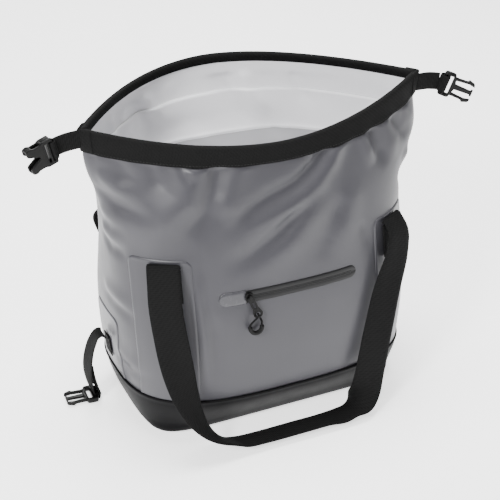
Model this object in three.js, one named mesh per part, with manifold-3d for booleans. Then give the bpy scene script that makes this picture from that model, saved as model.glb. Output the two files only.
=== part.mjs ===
// Roll-top insulated cooler bag: a coated-fabric body in a moulded boot, foam and a welded white
// lining inside, a webbing-bound mouth with side-release buckles at both ends, two shoulder
// handles, two side compression straps and a front pocket with a coated zip.
//
// Frame: millimetres, origin at the centre of the base on the floor, +X to the bag's right,
// -Y to its front, +Z up.

import * as THREE from "three";
import { mergeVertices } from "three/addons/utils/BufferGeometryUtils.js";
import Module from "manifold-3d";

const wasm = await Module();
wasm.setup();

// ---------------------------------------------------------------- driving dimensions

const RIM_HEIGHT = 386; // mouth height at its two ends
const FRONT_SAG = 28; // how far the middle of the front lip hangs below the ends
const SAG_START = 200; // height above which the front lip's sag begins
const BOOT_HEIGHT = 60;

const FABRIC = 1.0; // coated outer fabric
const BOOT_GAP = 0.4;
const BOOT_WALL = 2.0;
const BOOT_FLOOR = 2.2;
const FOAM = 8.4;
const FOAM_BASE = 10;
const FOAM_TOP = 300;
const LINING = 0.8;
const LINER_TOP = 336;
const CLEAR = 0.4; // gap between neighbouring layers
const BOARD = 2.4;

const TAPE_WIDTH = 25; // mouth binding
const STRAP_WIDTH = 21; // mouth straps and side straps
const TAPE_THICK = 1.4;
const HEM_INSIDE = 10; // how far the binding shows inside the mouth
const HANDLE_WIDTH = 38;
const HANDLE_THICK = 2.2;

const PATCH_THICK = 1.0;
const PATCH_INNER = 117; // distance round the surface from the centre line to the patch
const PATCH_WIDTH = 76;
const HANDLE_AT = 148; // distance round the surface from the centre line to a handle's middle
const PATCH_TOP = 242;
const PATCH_CORNER = 9;
const FOLD_HEIGHT = 233; // the handles fold over here
const SIDE_PATCH_HALF = 36;
const SIDE_PATCH_TOP = 146;
const SIDE_FOLD_HEIGHT = 110;
const SIDE_STRAP_Y = 3; // the side straps sit this far behind the middle
const PATCH_LIFT = 0.35; // gap between the body and what is welded on it

const ZIP_HEIGHT = 190;
const ZIP_RADIUS = 648; // plan radius of the zip, following the bulge of the front
const ZIP_SLOPE = 0.14; // how much the front leans out for each millimetre down
const ZIP_BAND = 13;
const ZIP_LEFT = -58;
const ZIP_RIGHT = 84;
const SLIDER_X = -55; // closed position
const GARAGE_LENGTH = 31;
const POCKET_LOW = 110;
const POCKET_TOP = 205;

const AROUND = 40; // facets round the body

// The body's plan at each height: half length, depth in front of and behind the line through the
// two ends, that line's y, and the two exponents of |x/a|^p + |y/b|^q = 1. It runs from a rounded
// rectangle on the floor to a pointed lens at the mouth.
const SECTIONS = [
  { z: 0, a: 153, front: 82, back: 82, mid: 0, p: 8.5, q: 7 },
  { z: 5, a: 160, front: 88, back: 88, mid: 0, p: 7, q: 6.5 },
  { z: 16, a: 168, front: 95, back: 95, mid: 0, p: 4.4, q: 4.4 },
  { z: 60, a: 181, front: 124, back: 124, mid: 0, p: 3, q: 3 },
  { z: 110, a: 187, front: 126, back: 130, mid: -1, p: 2.8, q: 2.8 },
  { z: 160, a: 189, front: 119, back: 134, mid: -4, p: 2.7, q: 2.6 },
  { z: 205, a: 187, front: 110, back: 138, mid: -7, p: 2.6, q: 2.4 },
  { z: 250, a: 187, front: 101, back: 142, mid: -11, p: 2.4, q: 2.1 },
  { z: 300, a: 196, front: 88, back: 149, mid: -16, p: 2.2, q: 1.7 },
  { z: 336, a: 203, front: 78, back: 154, mid: -19, p: 2.05, q: 1.35 },
  { z: 361, a: 207.5, front: 71.5, back: 158, mid: -21, p: 1.95, q: 1.15 },
  { z: 386, a: 211, front: 67, back: 160, mid: -22, p: 1.86, q: 1 },
];
const LEVELS = SECTIONS.map((section) => section.z);

// ---------------------------------------------------------------- solids from rings of points

// Joins rings of equal length into one closed solid. Each four-sided facet is split along its
// shorter diagonal, so that nested layers split alike. Open lofts are capped by strips that pair
// the ring's points from both ends; a closed loft runs back into its first ring.
function loft(rings, closed = false) {
  const count = rings[0].length;
  const corners = rings.flat();
  const span = (a, b) => corners[a].distanceToSquared(corners[b]);
  const positions = corners.flatMap((point) => [point.x, point.y, point.z]);
  const index = [];
  const spans = closed ? rings.length : rings.length - 1;
  for (let r = 0; r < spans; r += 1) {
    const here = r * count;
    const next = ((r + 1) % rings.length) * count;
    for (let i = 0; i < count; i += 1) {
      const j = (i + 1) % count;
      const [a, b, c, d] = [here + i, here + j, next + j, next + i];
      if (span(a, c) < span(b, d)) index.push(a, b, c, a, c, d);
      else index.push(a, b, d, b, c, d);
    }
  }
  if (!closed) {
    const last = (rings.length - 1) * count;
    for (let i = 0; i < count / 2 - 1; i += 1) {
      const a = i;
      const b = i + 1;
      const c = count - 2 - i;
      const d = count - 1 - i;
      index.push(a, c, b, a, d, c);
      index.push(last + a, last + b, last + c, last + a, last + c, last + d);
    }
  }
  return facingOut(positions, index);
}

// Builds the geometry, merges shared points, drops empty triangles and turns it to face outwards.
function facingOut(positions, index) {
  const raw = new THREE.BufferGeometry();
  raw.setAttribute("position", new THREE.Float32BufferAttribute(positions, 3));
  raw.setIndex(index);
  const merged = mergeVertices(raw, 1e-3);
  const kept = [];
  const old = merged.index.array;
  for (let i = 0; i < old.length; i += 3) {
    const [a, b, c] = [old[i], old[i + 1], old[i + 2]];
    if (a !== b && b !== c && a !== c) kept.push(a, b, c);
  }
  merged.setIndex(kept);
  if (signedVolume(merged) < 0) {
    for (let i = 0; i < kept.length; i += 3) {
      [kept[i + 1], kept[i + 2]] = [kept[i + 2], kept[i + 1]];
    }
    merged.setIndex(kept);
  }
  merged.computeVertexNormals();
  return merged;
}

function signedVolume(geometry) {
  const at = geometry.attributes.position;
  const index = geometry.index.array;
  const [a, b, c] = [new THREE.Vector3(), new THREE.Vector3(), new THREE.Vector3()];
  let volume = 0;
  for (let i = 0; i < index.length; i += 3) {
    a.fromBufferAttribute(at, index[i]);
    b.fromBufferAttribute(at, index[i + 1]);
    c.fromBufferAttribute(at, index[i + 2]);
    volume += a.dot(b.cross(c)) / 6;
  }
  return volume;
}

// ---------------------------------------------------------------- booleans

function toManifold(geometry) {
  const bare = geometry.clone();
  bare.deleteAttribute("normal");
  bare.deleteAttribute("uv");
  const merged = mergeVertices(bare, 1e-3);
  const triVerts = new Uint32Array(merged.index.array);
  const vertProperties = new Float32Array(merged.attributes.position.array);
  return new wasm.Manifold(new wasm.Mesh({ numProp: 3, vertProperties, triVerts }));
}

function fromManifold(solid) {
  const mesh = solid.getMesh();
  return facingOut(Array.from(mesh.vertProperties), Array.from(mesh.triVerts));
}

function cut(geometry, ...tools) {
  const solid = tools.reduce((body, tool) => body.subtract(toManifold(tool)), toManifold(geometry));
  return fromManifold(solid);
}

function join(geometry, ...others) {
  const solid = others.reduce((body, other) => body.add(toManifold(other)), toManifold(geometry));
  return fromManifold(solid);
}

// ---------------------------------------------------------------- the body's surface

// Smooth values between the listed sections.
function sectionAt(z) {
  const last = SECTIONS.length - 1;
  let k = 0;
  while (k < last - 1 && z > SECTIONS[k + 1].z) k += 1;
  const [s0, s1, s2, s3] = [k - 1, k, k + 1, k + 2].map(
    (i) => SECTIONS[Math.min(Math.max(i, 0), last)],
  );
  const step = s2.z - s1.z;
  const t = Math.min(Math.max((z - s1.z) / step, 0), 1);
  const result = { z };
  for (const key of ["a", "front", "back", "mid", "p", "q"]) {
    const m1 = ((s2[key] - s0[key]) / (s2.z - s0.z)) * step;
    const m2 = ((s3[key] - s1[key]) / (s3.z - s1.z)) * step;
    const [t2, t3] = [t * t, t * t * t];
    result[key] =
      (2 * t3 - 3 * t2 + 1) * s1[key] + (t3 - 2 * t2 + t) * m1 +
      (3 * t2 - 2 * t3) * s2[key] + (t3 - t2) * m2;
  }
  return result;
}

// Plan outline of one half, from the left end to the right end, as an even polyline.
function halfOutline(section, isFront, steps) {
  const fine = 240;
  const points = [];
  for (let i = 0; i <= fine; i += 1) {
    const angle = (Math.PI * i) / fine;
    const cosine = -Math.cos(angle);
    const x = section.a * Math.sign(cosine) * Math.abs(cosine) ** (2 / section.p);
    const reach = Math.abs(Math.sin(angle)) ** (2 / section.q);
    const y = section.mid + (isFront ? -section.front : section.back) * reach;
    points.push(new THREE.Vector2(x, y));
  }
  return evenly(points, steps);
}

function evenly(points, steps) {
  const along = [0];
  for (let i = 1; i < points.length; i += 1) {
    along.push(along[i - 1] + points[i].distanceTo(points[i - 1]));
  }
  const total = along[along.length - 1];
  const result = [];
  let k = 0;
  for (let i = 0; i <= steps; i += 1) {
    const target = (total * i) / steps;
    while (k < along.length - 2 && along[k + 1] < target) k += 1;
    const t = (target - along[k]) / (along[k + 1] - along[k]);
    result.push(points[k].clone().lerp(points[k + 1], t));
  }
  return result;
}

// How far a point of the front lip hangs down.
function sagAt(section, y) {
  const forward = Math.max(0, (section.mid - y) / section.front);
  const height = Math.max(0, (section.z - SAG_START) / (RIM_HEIGHT - SAG_START));
  return FRONT_SAG * height ** 1.5 * forward;
}

// One closed ring of the body at a height, offset sideways (outwards when positive).
function ring(z, offset = 0, around = AROUND) {
  const section = sectionAt(z);
  const front = halfOutline(section, true, around / 2);
  const back = halfOutline(section, false, around / 2).reverse();
  const plan = [...front.slice(0, -1), ...back.slice(0, -1)];
  return plan.map((point, i) => {
    const before = plan[(i + plan.length - 1) % plan.length];
    const after = plan[(i + 1) % plan.length];
    const n1 = new THREE.Vector2(point.y - before.y, before.x - point.x).normalize();
    const n2 = new THREE.Vector2(after.y - point.y, point.x - after.x).normalize();
    const outward = n1.clone().add(n2).normalize();
    const reach = offset / Math.max(outward.dot(n1), 0.5);
    const x = point.x + outward.x * reach;
    const y = point.y + outward.y * reach;
    return new THREE.Vector3(x, y, z - sagAt(section, point.y));
  });
}

const levelsBetween = (low, high) => LEVELS.filter((z) => z > low + 0.5 && z < high - 0.5);
const flat = (points, z) => points.map((point) => new THREE.Vector3(point.x, point.y, z));

// An open-topped cup: outside rings up, inside rings down, floor between two heights.
function cup({ bottom, floor, top, outer, inner }) {
  const up = [bottom, ...levelsBetween(bottom, top), top];
  const down = [top, ...levelsBetween(bottom + floor, top).reverse(), bottom + floor];
  return loft([...up.map((z) => ring(z, outer(z))), ...down.map((z) => ring(z, inner(z)))]);
}

// A band round the whole body.
function band({ low, high, outer, inner }) {
  const heights = [low, ...levelsBetween(low, high), high];
  const up = heights.map((z) => ring(z, outer(z)));
  const down = heights.reverse().map((z) => ring(z, inner(z)));
  return loft([...up, ...down], true);
}

// Part of a band, between two of the ring's points counted from the left end.
function bandPanel({ low, high, outer, inner, first, last, gap = 0 }) {
  const heights = [low, ...levelsBetween(low, high), high];
  const outside = heights.map((z) => ring(z, outer(z)));
  const inside = heights.map((z) => ring(z, inner(z))).reverse();
  const columns = [];
  for (let i = first; i <= last; i += 1) {
    const shift = i === first ? gap : i === last ? -gap : 0;
    const neighbour = i === last ? i - 1 : i + 1;
    const pick = (points) => {
      const here = points[(i + AROUND) % AROUND].clone();
      if (!shift) return here;
      const there = points[(neighbour + AROUND) % AROUND];
      return here.lerp(there, Math.abs(shift) / here.distanceTo(there));
    };
    columns.push([...outside.map(pick), ...inside.map(pick)]);
  }
  return loft(columns);
}

// A point on the smooth surface: distance round from the middle of the front or back (positive to
// the right), height, and distance off the surface.
function surfacePoint(isFront, distance, z, offset = 0) {
  const at = (s, h) => {
    const section = sectionAt(h);
    const steps = 160;
    const near = halfOutline(section, isFront, steps);
    const far = halfOutline(section, !isFront, steps);
    const loop = [...near, ...far.reverse().slice(1)];
    const along = near[0].distanceTo(near[1]);
    const further = far[0].distanceTo(far[1]);
    const half = (along * steps) / 2;
    const wrapped = s < -half ? -1 : s > half ? 1 : 0;
    let plan;
    if (wrapped === 0) {
      const place = (s + half) / along;
      const i = Math.min(Math.floor(place), steps - 1);
      plan = loop[i].clone().lerp(loop[i + 1], place - i);
    } else {
      const place = (Math.abs(s) - half) / further;
      const i = Math.floor(place);
      const from = wrapped > 0 ? steps + i : loop.length - 1 - i;
      plan = loop[from].clone().lerp(loop[from + wrapped], place - i);
    }
    return new THREE.Vector3(plan.x, plan.y, h);
  };
  const here = at(distance, z);
  const acrossStep = at(distance + 1, z).sub(at(distance - 1, z));
  const upStep = at(distance, z + 1).sub(at(distance, z - 1));
  const normal = acrossStep.cross(upStep).normalize();
  if (!isFront) normal.negate();
  return { point: here.addScaledVector(normal, offset), normal };
}

// Half the distance round the front at a height: where the side's middle lies.
function sideDistance(z) {
  const outline = halfOutline(sectionAt(z), true, 160);
  return outline[0].distanceTo(outline[1]) * 80;
}

// ---------------------------------------------------------------- webbing and patches

// A strap: a rectangular section carried along points, each with the direction its width takes.
function ribbon(stations, width, thickness) {
  const rings = stations.map(({ at, across }, i) => {
    const before = stations[Math.max(i - 1, 0)].at;
    const after = stations[Math.min(i + 1, stations.length - 1)].at;
    const tangent = after.clone().sub(before).normalize();
    const side = across.clone().addScaledVector(tangent, -across.dot(tangent)).normalize();
    const face = side.clone().cross(tangent).normalize();
    return [[-1, -1], [1, -1], [1, 1], [-1, 1]].map(([w, t]) =>
      at.clone().addScaledVector(side, (w * width) / 2).addScaledVector(face, (t * thickness) / 2),
    );
  });
  return loft(rings);
}

// Even stations along a hand-chosen route, with the width direction turned smoothly between them.
function strapStations(route, steps) {
  const path = new THREE.CatmullRomCurve3(route.map((stop) => stop.at), false, "centripetal");
  const stations = [];
  for (let i = 0; i <= steps; i += 1) {
    const place = (i / steps) * (route.length - 1);
    const k = Math.min(Math.floor(place), route.length - 2);
    const across = route[k].across.clone().lerp(route[k + 1].across, place - k).normalize();
    stations.push({ at: path.getPoint(i / steps), across });
  }
  return stations;
}

// A welded patch on the surface, with its two top corners rounded. Its middle line is a distance
// round the body that may change with height.
function patch({ isFront, middle, half, low, top }) {
  const columns = 8;
  const rows = 7;
  const rings = [];
  for (let c = 0; c <= columns; c += 1) {
    const across = half * ((2 * c) / columns - 1);
    const past = Math.max(0, Math.abs(across) - (half - PATCH_CORNER));
    const edge = top - PATCH_CORNER + Math.sqrt(PATCH_CORNER ** 2 - past ** 2);
    const heights = [];
    for (let r = 0; r <= rows; r += 1) heights.push(low + ((edge - low) * r) / rows);
    const skin = (offset) => heights.map(
      (z) => surfacePoint(isFront, middle(z) + across, z, offset).point,
    );
    rings.push([...skin(PATCH_LIFT), ...skin(PATCH_LIFT + PATCH_THICK).reverse()]);
  }
  return loft(rings);
}

// ---------------------------------------------------------------- side-release buckle

const BUCKLE_WIDTH = 31;
const PLUG_LENGTH = 40;
const PLUG_THICK = 7.6;
const SOCKET_LENGTH = 33;
const SOCKET_THICK = 11;
const FRAME_LENGTH = 13; // the part of either half that holds the webbing
const SLOT_WIDTH = 23;
const ARM_ROOT = 9.6; // distance of each spring arm from the centre line

function plate(points, thickness) {
  const outline = new THREE.Shape(points.map(([x, y]) => new THREE.Vector2(x, y)));
  const solid = new THREE.ExtrudeGeometry(outline, { depth: thickness, bevelEnabled: false });
  return solid.translate(0, 0, -thickness / 2);
}

function roundedPlate(x0, x1, halfWidth, radius, thickness) {
  const outline = new THREE.Shape();
  outline.moveTo(x0 + radius, -halfWidth);
  outline.lineTo(x1 - radius, -halfWidth);
  outline.absarc(x1 - radius, radius - halfWidth, radius, -Math.PI / 2, 0);
  outline.absarc(x1 - radius, halfWidth - radius, radius, 0, Math.PI / 2);
  outline.absarc(x0 + radius, halfWidth - radius, radius, Math.PI / 2, Math.PI);
  outline.absarc(x0 + radius, radius - halfWidth, radius, Math.PI, Math.PI * 1.5);
  const options = { depth: thickness, bevelEnabled: false, curveSegments: 3 };
  return new THREE.ExtrudeGeometry(outline, options).translate(0, 0, -thickness / 2);
}

function block(x0, x1, y0, y1, z0, z1) {
  const box = new THREE.BoxGeometry(x1 - x0, y1 - y0, z1 - z0);
  return box.translate((x0 + x1) / 2, (y0 + y1) / 2, (z0 + z1) / 2);
}

// Plug half: x from the webbing end, y across, z through the thickness.
function plugBody() {
  const half = SLOT_WIDTH / 2;
  const frame = roundedPlate(0, FRAME_LENGTH, BUCKLE_WIDTH / 2, 3, PLUG_THICK);
  const guide = plate(
    [[FRAME_LENGTH - 1, -3.2], [PLUG_LENGTH - 3, -2.2], [PLUG_LENGTH - 3, -4.4], [PLUG_LENGTH - 0.6, -4.4],
      [PLUG_LENGTH - 0.6, 4.4], [PLUG_LENGTH - 3, 4.4], [PLUG_LENGTH - 3, 2.2], [FRAME_LENGTH - 1, 3.2]],
    3,
  );
  return cut(
    join(frame, guide),
    block(2.6, 5.6, -half, half, -PLUG_THICK, PLUG_THICK),
    block(7.6, 10.2, -half, half, -PLUG_THICK, PLUG_THICK),
  );
}

// One spring arm, on the side given by sign, standing a small gap off the plug's frame.
function plugArm(sign) {
  const points = [
    [FRAME_LENGTH + 0.3, ARM_ROOT - 1.6], [PLUG_LENGTH - 8, ARM_ROOT + 0.2],
    [PLUG_LENGTH, ARM_ROOT - 1.5], [PLUG_LENGTH - 1.5, ARM_ROOT + 2.2],
    [PLUG_LENGTH - 9, ARM_ROOT + 5.2], [PLUG_LENGTH - 10.5, ARM_ROOT + 2.6],
    [FRAME_LENGTH + 6, ARM_ROOT + 2.2], [FRAME_LENGTH + 0.3, ARM_ROOT + 2.4],
  ];
  const turned = sign > 0 ? points : points.map(([x, y]) => [x, -y]).reverse();
  return plate(turned, 4.4);
}

function socketBody() {
  const half = SLOT_WIDTH / 2;
  const hollowHalf = 12;
  const reach = SOCKET_LENGTH + 1;
  const shell = roundedPlate(0, SOCKET_LENGTH, BUCKLE_WIDTH / 2, 4, SOCKET_THICK);
  const notch = plate([[SOCKET_LENGTH - 15, 0], [reach, -7], [reach, 7]], SOCKET_THICK * 2);
  return cut(
    shell,
    block(FRAME_LENGTH - 1, reach, -hollowHalf, hollowHalf, -3.3, 3.3),
    block(FRAME_LENGTH + 1, SOCKET_LENGTH - 7, -BUCKLE_WIDTH, BUCKLE_WIDTH, -3.3, 3.3),
    block(2.6, 5.4, -half, half, -SOCKET_THICK, SOCKET_THICK),
    block(7.4, 10, -half, half, -SOCKET_THICK, SOCKET_THICK),
    notch,
  );
}

// ---------------------------------------------------------------- materials and assembly

const bag = new THREE.Group();

function material(colour, roughness, metalness = 0) {
  return new THREE.MeshStandardMaterial({ color: colour, roughness, metalness });
}

const COATED_GREY = material(0x89888c, 0.5);
const BOOT_CHARCOAL = material(0x444446, 0.6);
const WEBBING_BLACK = material(0x202022, 0.85);
const PLASTIC_BLACK = material(0x1a1a1c, 0.4);
const LINING_WHITE = material(0xe4e5e6, 0.5);
const FOAM_WHITE = material(0xf0f0ec, 0.9);
const BOARD_GREY = material(0x9a9a98, 0.6);
const ZIP_GREY = material(0x4a4a4c, 0.55);
const METAL_DARK = material(0x2c2c2e, 0.35, 0.8);
const CORD_BLACK = material(0x1c1c1e, 0.8);

function add(name, geometry, look, parent = bag) {
  const mesh = new THREE.Mesh(geometry, look);
  mesh.name = name;
  parent.add(mesh);
  return mesh;
}

const constant = (value) => () => value;

// Shell, boot, foam and lining.
function addBody() {
  const shellBottom = BOOT_FLOOR + CLEAR;
  add("outer_shell", cup({
    bottom: shellBottom, floor: FABRIC, top: RIM_HEIGHT, outer: constant(0), inner: constant(-FABRIC),
  }), COATED_GREY);
  add("base_boot", cup({
    bottom: 0,
    floor: BOOT_FLOOR,
    top: BOOT_HEIGHT,
    outer: constant(BOOT_GAP + BOOT_WALL),
    inner: constant(BOOT_GAP),
  }), BOOT_CHARCOAL);

  const boardLow = shellBottom + FABRIC + CLEAR;
  const boardTop = boardLow + BOARD;
  const inset = -(FABRIC + CLEAR + 1);
  add("base_board", loft([flat(ring(boardLow, inset), boardLow), flat(ring(boardLow, inset), boardTop)]),
    BOARD_GREY);
  const foamLow = boardTop + CLEAR;
  const foamHigh = foamLow + FOAM_BASE;
  add("foam_base", loft([flat(ring(foamLow, inset), foamLow), flat(ring(foamLow, inset), foamHigh)]),
    FOAM_WHITE);

  // The foam thins out near its top edge, so the lining slopes back to the collar.
  const foamOuter = constant(-(FABRIC + 2.2));
  const foamInner = (z) => foamOuter() - (z > 299 ? 1.2 : z > 249 ? FOAM * 0.7 : FOAM);
  const wallLow = foamHigh + CLEAR;
  const panels = { front: [3, 17], right: [17, 23], back: [23, 37], left: [37, 43] };
  for (const [name, [first, last]] of Object.entries(panels)) {
    add(`foam_${name}`, bandPanel({
      low: wallLow, high: FOAM_TOP, outer: foamOuter, inner: foamInner, first, last, gap: 0.3,
    }), FOAM_WHITE);
  }
  const collarOuter = -(FABRIC + 2.3);
  const linerOuter = (z) => (z > 335 ? collarOuter : foamInner(z) - CLEAR);
  add("inner_liner", cup({
    bottom: wallLow,
    floor: LINING,
    top: LINER_TOP,
    outer: linerOuter,
    inner: (z) => linerOuter(z) - LINING,
  }), LINING_WHITE);
  add("collar_lining", band({
    low: LINER_TOP + CLEAR,
    high: RIM_HEIGHT,
    outer: constant(collarOuter),
    inner: constant(collarOuter - LINING),
  }), LINING_WHITE);
  const beadOuter = collarOuter - LINING - 2 * CLEAR;
  add("liner_weld_band", band({
    low: LINER_TOP - 3.5, high: LINER_TOP + 5, outer: constant(beadOuter), inner: constant(beadOuter - 0.8),
  }), LINING_WHITE);
  return { collarInner: collarOuter - LINING };
}

// Webbing round the mouth: wide outside, narrow inside, with a stiff strip between the fabrics.
function addMouth({ collarInner }) {
  const halves = { front: [0, AROUND / 2], back: [AROUND / 2, AROUND] };
  const outside = 0.35;
  for (const [name, [first, last]] of Object.entries(halves)) {
    const shared = { high: RIM_HEIGHT, first, last, gap: 0.3 };
    add(`rim_tape_${name}`, bandPanel({
      ...shared,
      low: RIM_HEIGHT - TAPE_WIDTH,
      outer: constant(outside + TAPE_THICK),
      inner: constant(outside),
    }), WEBBING_BLACK);
    add(`rim_hem_${name}`, bandPanel({
      ...shared,
      low: RIM_HEIGHT - HEM_INSIDE,
      outer: constant(collarInner - 3 * CLEAR),
      inner: constant(collarInner - 3 * CLEAR - 1),
      gap: 1.6,
    }), WEBBING_BLACK);
    add(`rim_stiffener_${name}`, bandPanel({
      ...shared,
      low: RIM_HEIGHT - TAPE_WIDTH + 3,
      high: RIM_HEIGHT - 1,
      outer: constant(-(FABRIC + 0.8)),
      inner: constant(-(FABRIC + 1.5)),
      gap: 1.5,
    }), BOARD_GREY);
  }
}

// Handles: a patch and a short fixed tab at each of four places, and a long swinging loop.
function addHandle(isFront) {
  const name = isFront ? "front" : "back";
  const middle = PATCH_INNER + PATCH_WIDTH / 2;
  for (const [side, sign] of [["left", -1], ["right", 1]]) {
    add(`handle_patch_${name}_${side}`, patch({
      isFront, middle: constant(sign * middle), half: PATCH_WIDTH / 2, low: BOOT_HEIGHT + 0.8, top: PATCH_TOP,
    }), COATED_GREY);
    const tab = [192, 206, 218, FOLD_HEIGHT - 4].map((z) => {
      const { point, normal } = surfacePoint(isFront, sign * HANDLE_AT, z, 2.9);
      return { at: point, across: new THREE.Vector3(-normal.y, normal.x, 0) };
    });
    add(`handle_tab_${name}_${side}`, ribbon(tab, HANDLE_WIDTH, HANDLE_THICK), WEBBING_BLACK);
  }
  add(`handle_${name}`, ribbon(handleRoute(isFront), HANDLE_WIDTH, HANDLE_THICK), WEBBING_BLACK);
}

// The two legs of the front handle from near the fold to the floor: x, y, z, the heading of the
// strap's width in degrees, and how far that width tips up. The left leg hangs straight and curls
// in at the foot; the right leg leans in, turns square to the front and folds over on the floor.
const LEFT_LEG = [
  [-150, -101, 219, -29, 0], [-153, -111, 196, -27, 0], [-152, -122, 160, -22, 0],
  [-148, -130, 122, -8, 0], [-141, -135, 88, 14, 0], [-129, -138, 56, 42, -0.08],
  [-112, -140, 30, 68, -0.3], [-94, -141, 15, 84, -0.4], [-76, -140.5, 8, 90, -0.3],
  [-54, -140, 4.8, 90, -0.15], [0, -140, 4.2, 90, -0.13], [32, -140, 4.4, 90, -0.13],
];
const RIGHT_LEG = [
  [149, -101, 219, 27, 0], [142, -111, 196, 18, 0], [124, -122, 158, 4, 0],
  [110, -131, 116, -3, 0], [101, -136, 82, -6, 0], [95, -138, 52, -10, 0],
  [89, -138.5, 28, -26, 0.1], [77, -139, 11.5, -62, 0.3], [58, -140, 5.6, -88, 0.14],
];

// The loop leaves one fold, hangs in front of the bulging wall, turns flat on the floor with a
// quarter twist and comes back up. The back handle is the front one turned half round and set
// further out.
function handleRoute(isFront) {
  const turn = isFront ? 1 : -1;
  const clearance = isFront ? 0 : -9;
  const stop = ([x, y, z, heading, tip], flip) => {
    const angle = THREE.MathUtils.degToRad(heading);
    return {
      at: new THREE.Vector3(turn * x, turn * (y + clearance), z),
      across: new THREE.Vector3(turn * Math.cos(angle), turn * Math.sin(angle), tip).multiplyScalar(flip),
    };
  };
  const foldStop = (side) => {
    const { point, normal } = surfacePoint(isFront, side * HANDLE_AT, FOLD_HEIGHT + 2, 5.4);
    const away = isFront ? 1 : -1;
    return { at: point, across: new THREE.Vector3(-normal.y * away, normal.x * away, 0).multiplyScalar(turn) };
  };
  const first = foldStop(-turn);
  const last = foldStop(turn);
  last.across.negate();
  const route = [
    first, ...LEFT_LEG.map((row) => stop(row, 1)), ...RIGHT_LEG.map((row) => stop(row, -1)).reverse(), last,
  ];
  return strapStations(route, 60);
}

// Side straps: a patch, a fixed tab and a strap that folds over it and hangs to the floor.
const SIDE_ROUTE = {
  left: [
    [-193.6, 3, 106.5, 0], [-196, 3.2, 109.6, 0], [-200.6, 5.6, 107.4, 0], [-206.6, 12, 92, 0],
    [-210.4, 20, 66, 0], [-210, 28, 40, 0], [-206.6, 33, 18, 0], [-205, 34, 10, 0],
  ],
  right: [
    [193.6, 3, 106.5, 0], [196.6, 4.6, 109.6, 0], [202, 12, 104, 0.05], [206.4, 32, 84, 0.2],
    [207, 58, 57, 0.5], [206, 78, 33, 0.8], [204.5, 90, 19, 1], [204, 93, 13.4, 1],
  ],
};
function addSideStrap(side) {
  const sign = side === "left" ? -1 : 1;
  const middle = (z) => sign * (sideDistance(z) + SIDE_STRAP_Y - sectionAt(z).mid);
  add(`side_patch_${side}`, patch({
    isFront: true, middle, half: SIDE_PATCH_HALF, low: BOOT_HEIGHT + 0.8, top: SIDE_PATCH_TOP,
  }), COATED_GREY);
  const tab = [82, 90, 98, SIDE_FOLD_HEIGHT - 4].map((z) => {
    const { point, normal } = surfacePoint(true, middle(z), z, 2.6);
    return { at: point, across: new THREE.Vector3(-normal.y, normal.x, 0) };
  });
  add(`side_tab_${side}`, ribbon(tab, STRAP_WIDTH, TAPE_THICK), WEBBING_BLACK);
  const route = SIDE_ROUTE[side].map(([x, y, z, twist]) => ({
    at: new THREE.Vector3(x, y, z),
    across: new THREE.Vector3(twist, 1 - twist, 0).normalize(),
  }));
  add(`side_strap_${side}`, ribbon(strapStations(route, 18), STRAP_WIDTH, TAPE_THICK), WEBBING_BLACK);
}

// A short strap out of each end of the mouth, standing on edge.
const MOUTH_STRAP = {
  left: [[-214.6, -22, 375.5], [-226, -22, 374.5], [-236.4, -22.6, 372.6]],
  right: [[214.6, -22, 371.8], [226, -22.4, 371.6], [236.4, -25, 370.4]],
};
function addMouthStrap(side) {
  const stations = MOUTH_STRAP[side].map(([x, y, z]) => ({
    at: new THREE.Vector3(x, y, z),
    across: new THREE.Vector3(0, 0, 1),
  }));
  add(`mouth_strap_${side}`, ribbon(stations, STRAP_WIDTH, 2 * TAPE_THICK), WEBBING_BLACK);
}

// Places a buckle half: origin at its webbing end, pointing along a heading, its width along wide.
function buckleGroup(at, heading, wide) {
  const x = heading.clone().normalize();
  const y = wide.clone().addScaledVector(x, -wide.dot(x)).normalize();
  const z = x.clone().cross(y);
  const group = new THREE.Group();
  group.applyMatrix4(new THREE.Matrix4().makeBasis(x, y, z).setPosition(at));
  bag.add(group);
  return group;
}

function heading(yaw, droop, sign) {
  const [turn, fall] = [yaw, droop].map(THREE.MathUtils.degToRad);
  return new THREE.Vector3(
    sign * Math.cos(turn) * Math.cos(fall), -Math.sin(turn) * Math.cos(fall), -Math.sin(fall),
  );
}

function addPlug(name, group) {
  add(`${name}_plug`, plugBody(), PLASTIC_BLACK, group);
  add(`${name}_plug_arm_a`, plugArm(1), PLASTIC_BLACK, group);
  add(`${name}_plug_arm_b`, plugArm(-1), PLASTIC_BLACK, group);
}

function addBuckles() {
  const up = new THREE.Vector3(0, 0, 1);
  const mouthLeft = buckleGroup(new THREE.Vector3(-241.6, -24, 371.4), heading(15, 14, -1), up);
  add("mouth_buckle_left_socket", socketBody(), PLASTIC_BLACK, mouthLeft);
  const mouthRight = buckleGroup(new THREE.Vector3(241.8, -28, 369.6), heading(35, 19, 1), up);
  addPlug("mouth_buckle_right", mouthRight);
  const plugRest = PLUG_THICK / 2 + 0.2;
  const sideLeft = buckleGroup(
    new THREE.Vector3(-199.5, 34, plugRest), new THREE.Vector3(-1, 0.06, 0), new THREE.Vector3(0, 1, 0),
  );
  addPlug("side_buckle_left", sideLeft);
  const socketRest = SOCKET_THICK / 2 + 0.2;
  const sideRight = buckleGroup(
    new THREE.Vector3(204, 88.5, socketRest), new THREE.Vector3(0, 1, 0), new THREE.Vector3(1, 0, 0),
  );
  add("side_buckle_right_socket", socketBody(), PLASTIC_BLACK, sideRight);
}

// ---------------------------------------------------------------- pocket

const zipFront = surfacePoint(true, 0, ZIP_HEIGHT, 1).point.y;
const zipAxisY = zipFront + ZIP_RADIUS;

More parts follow.
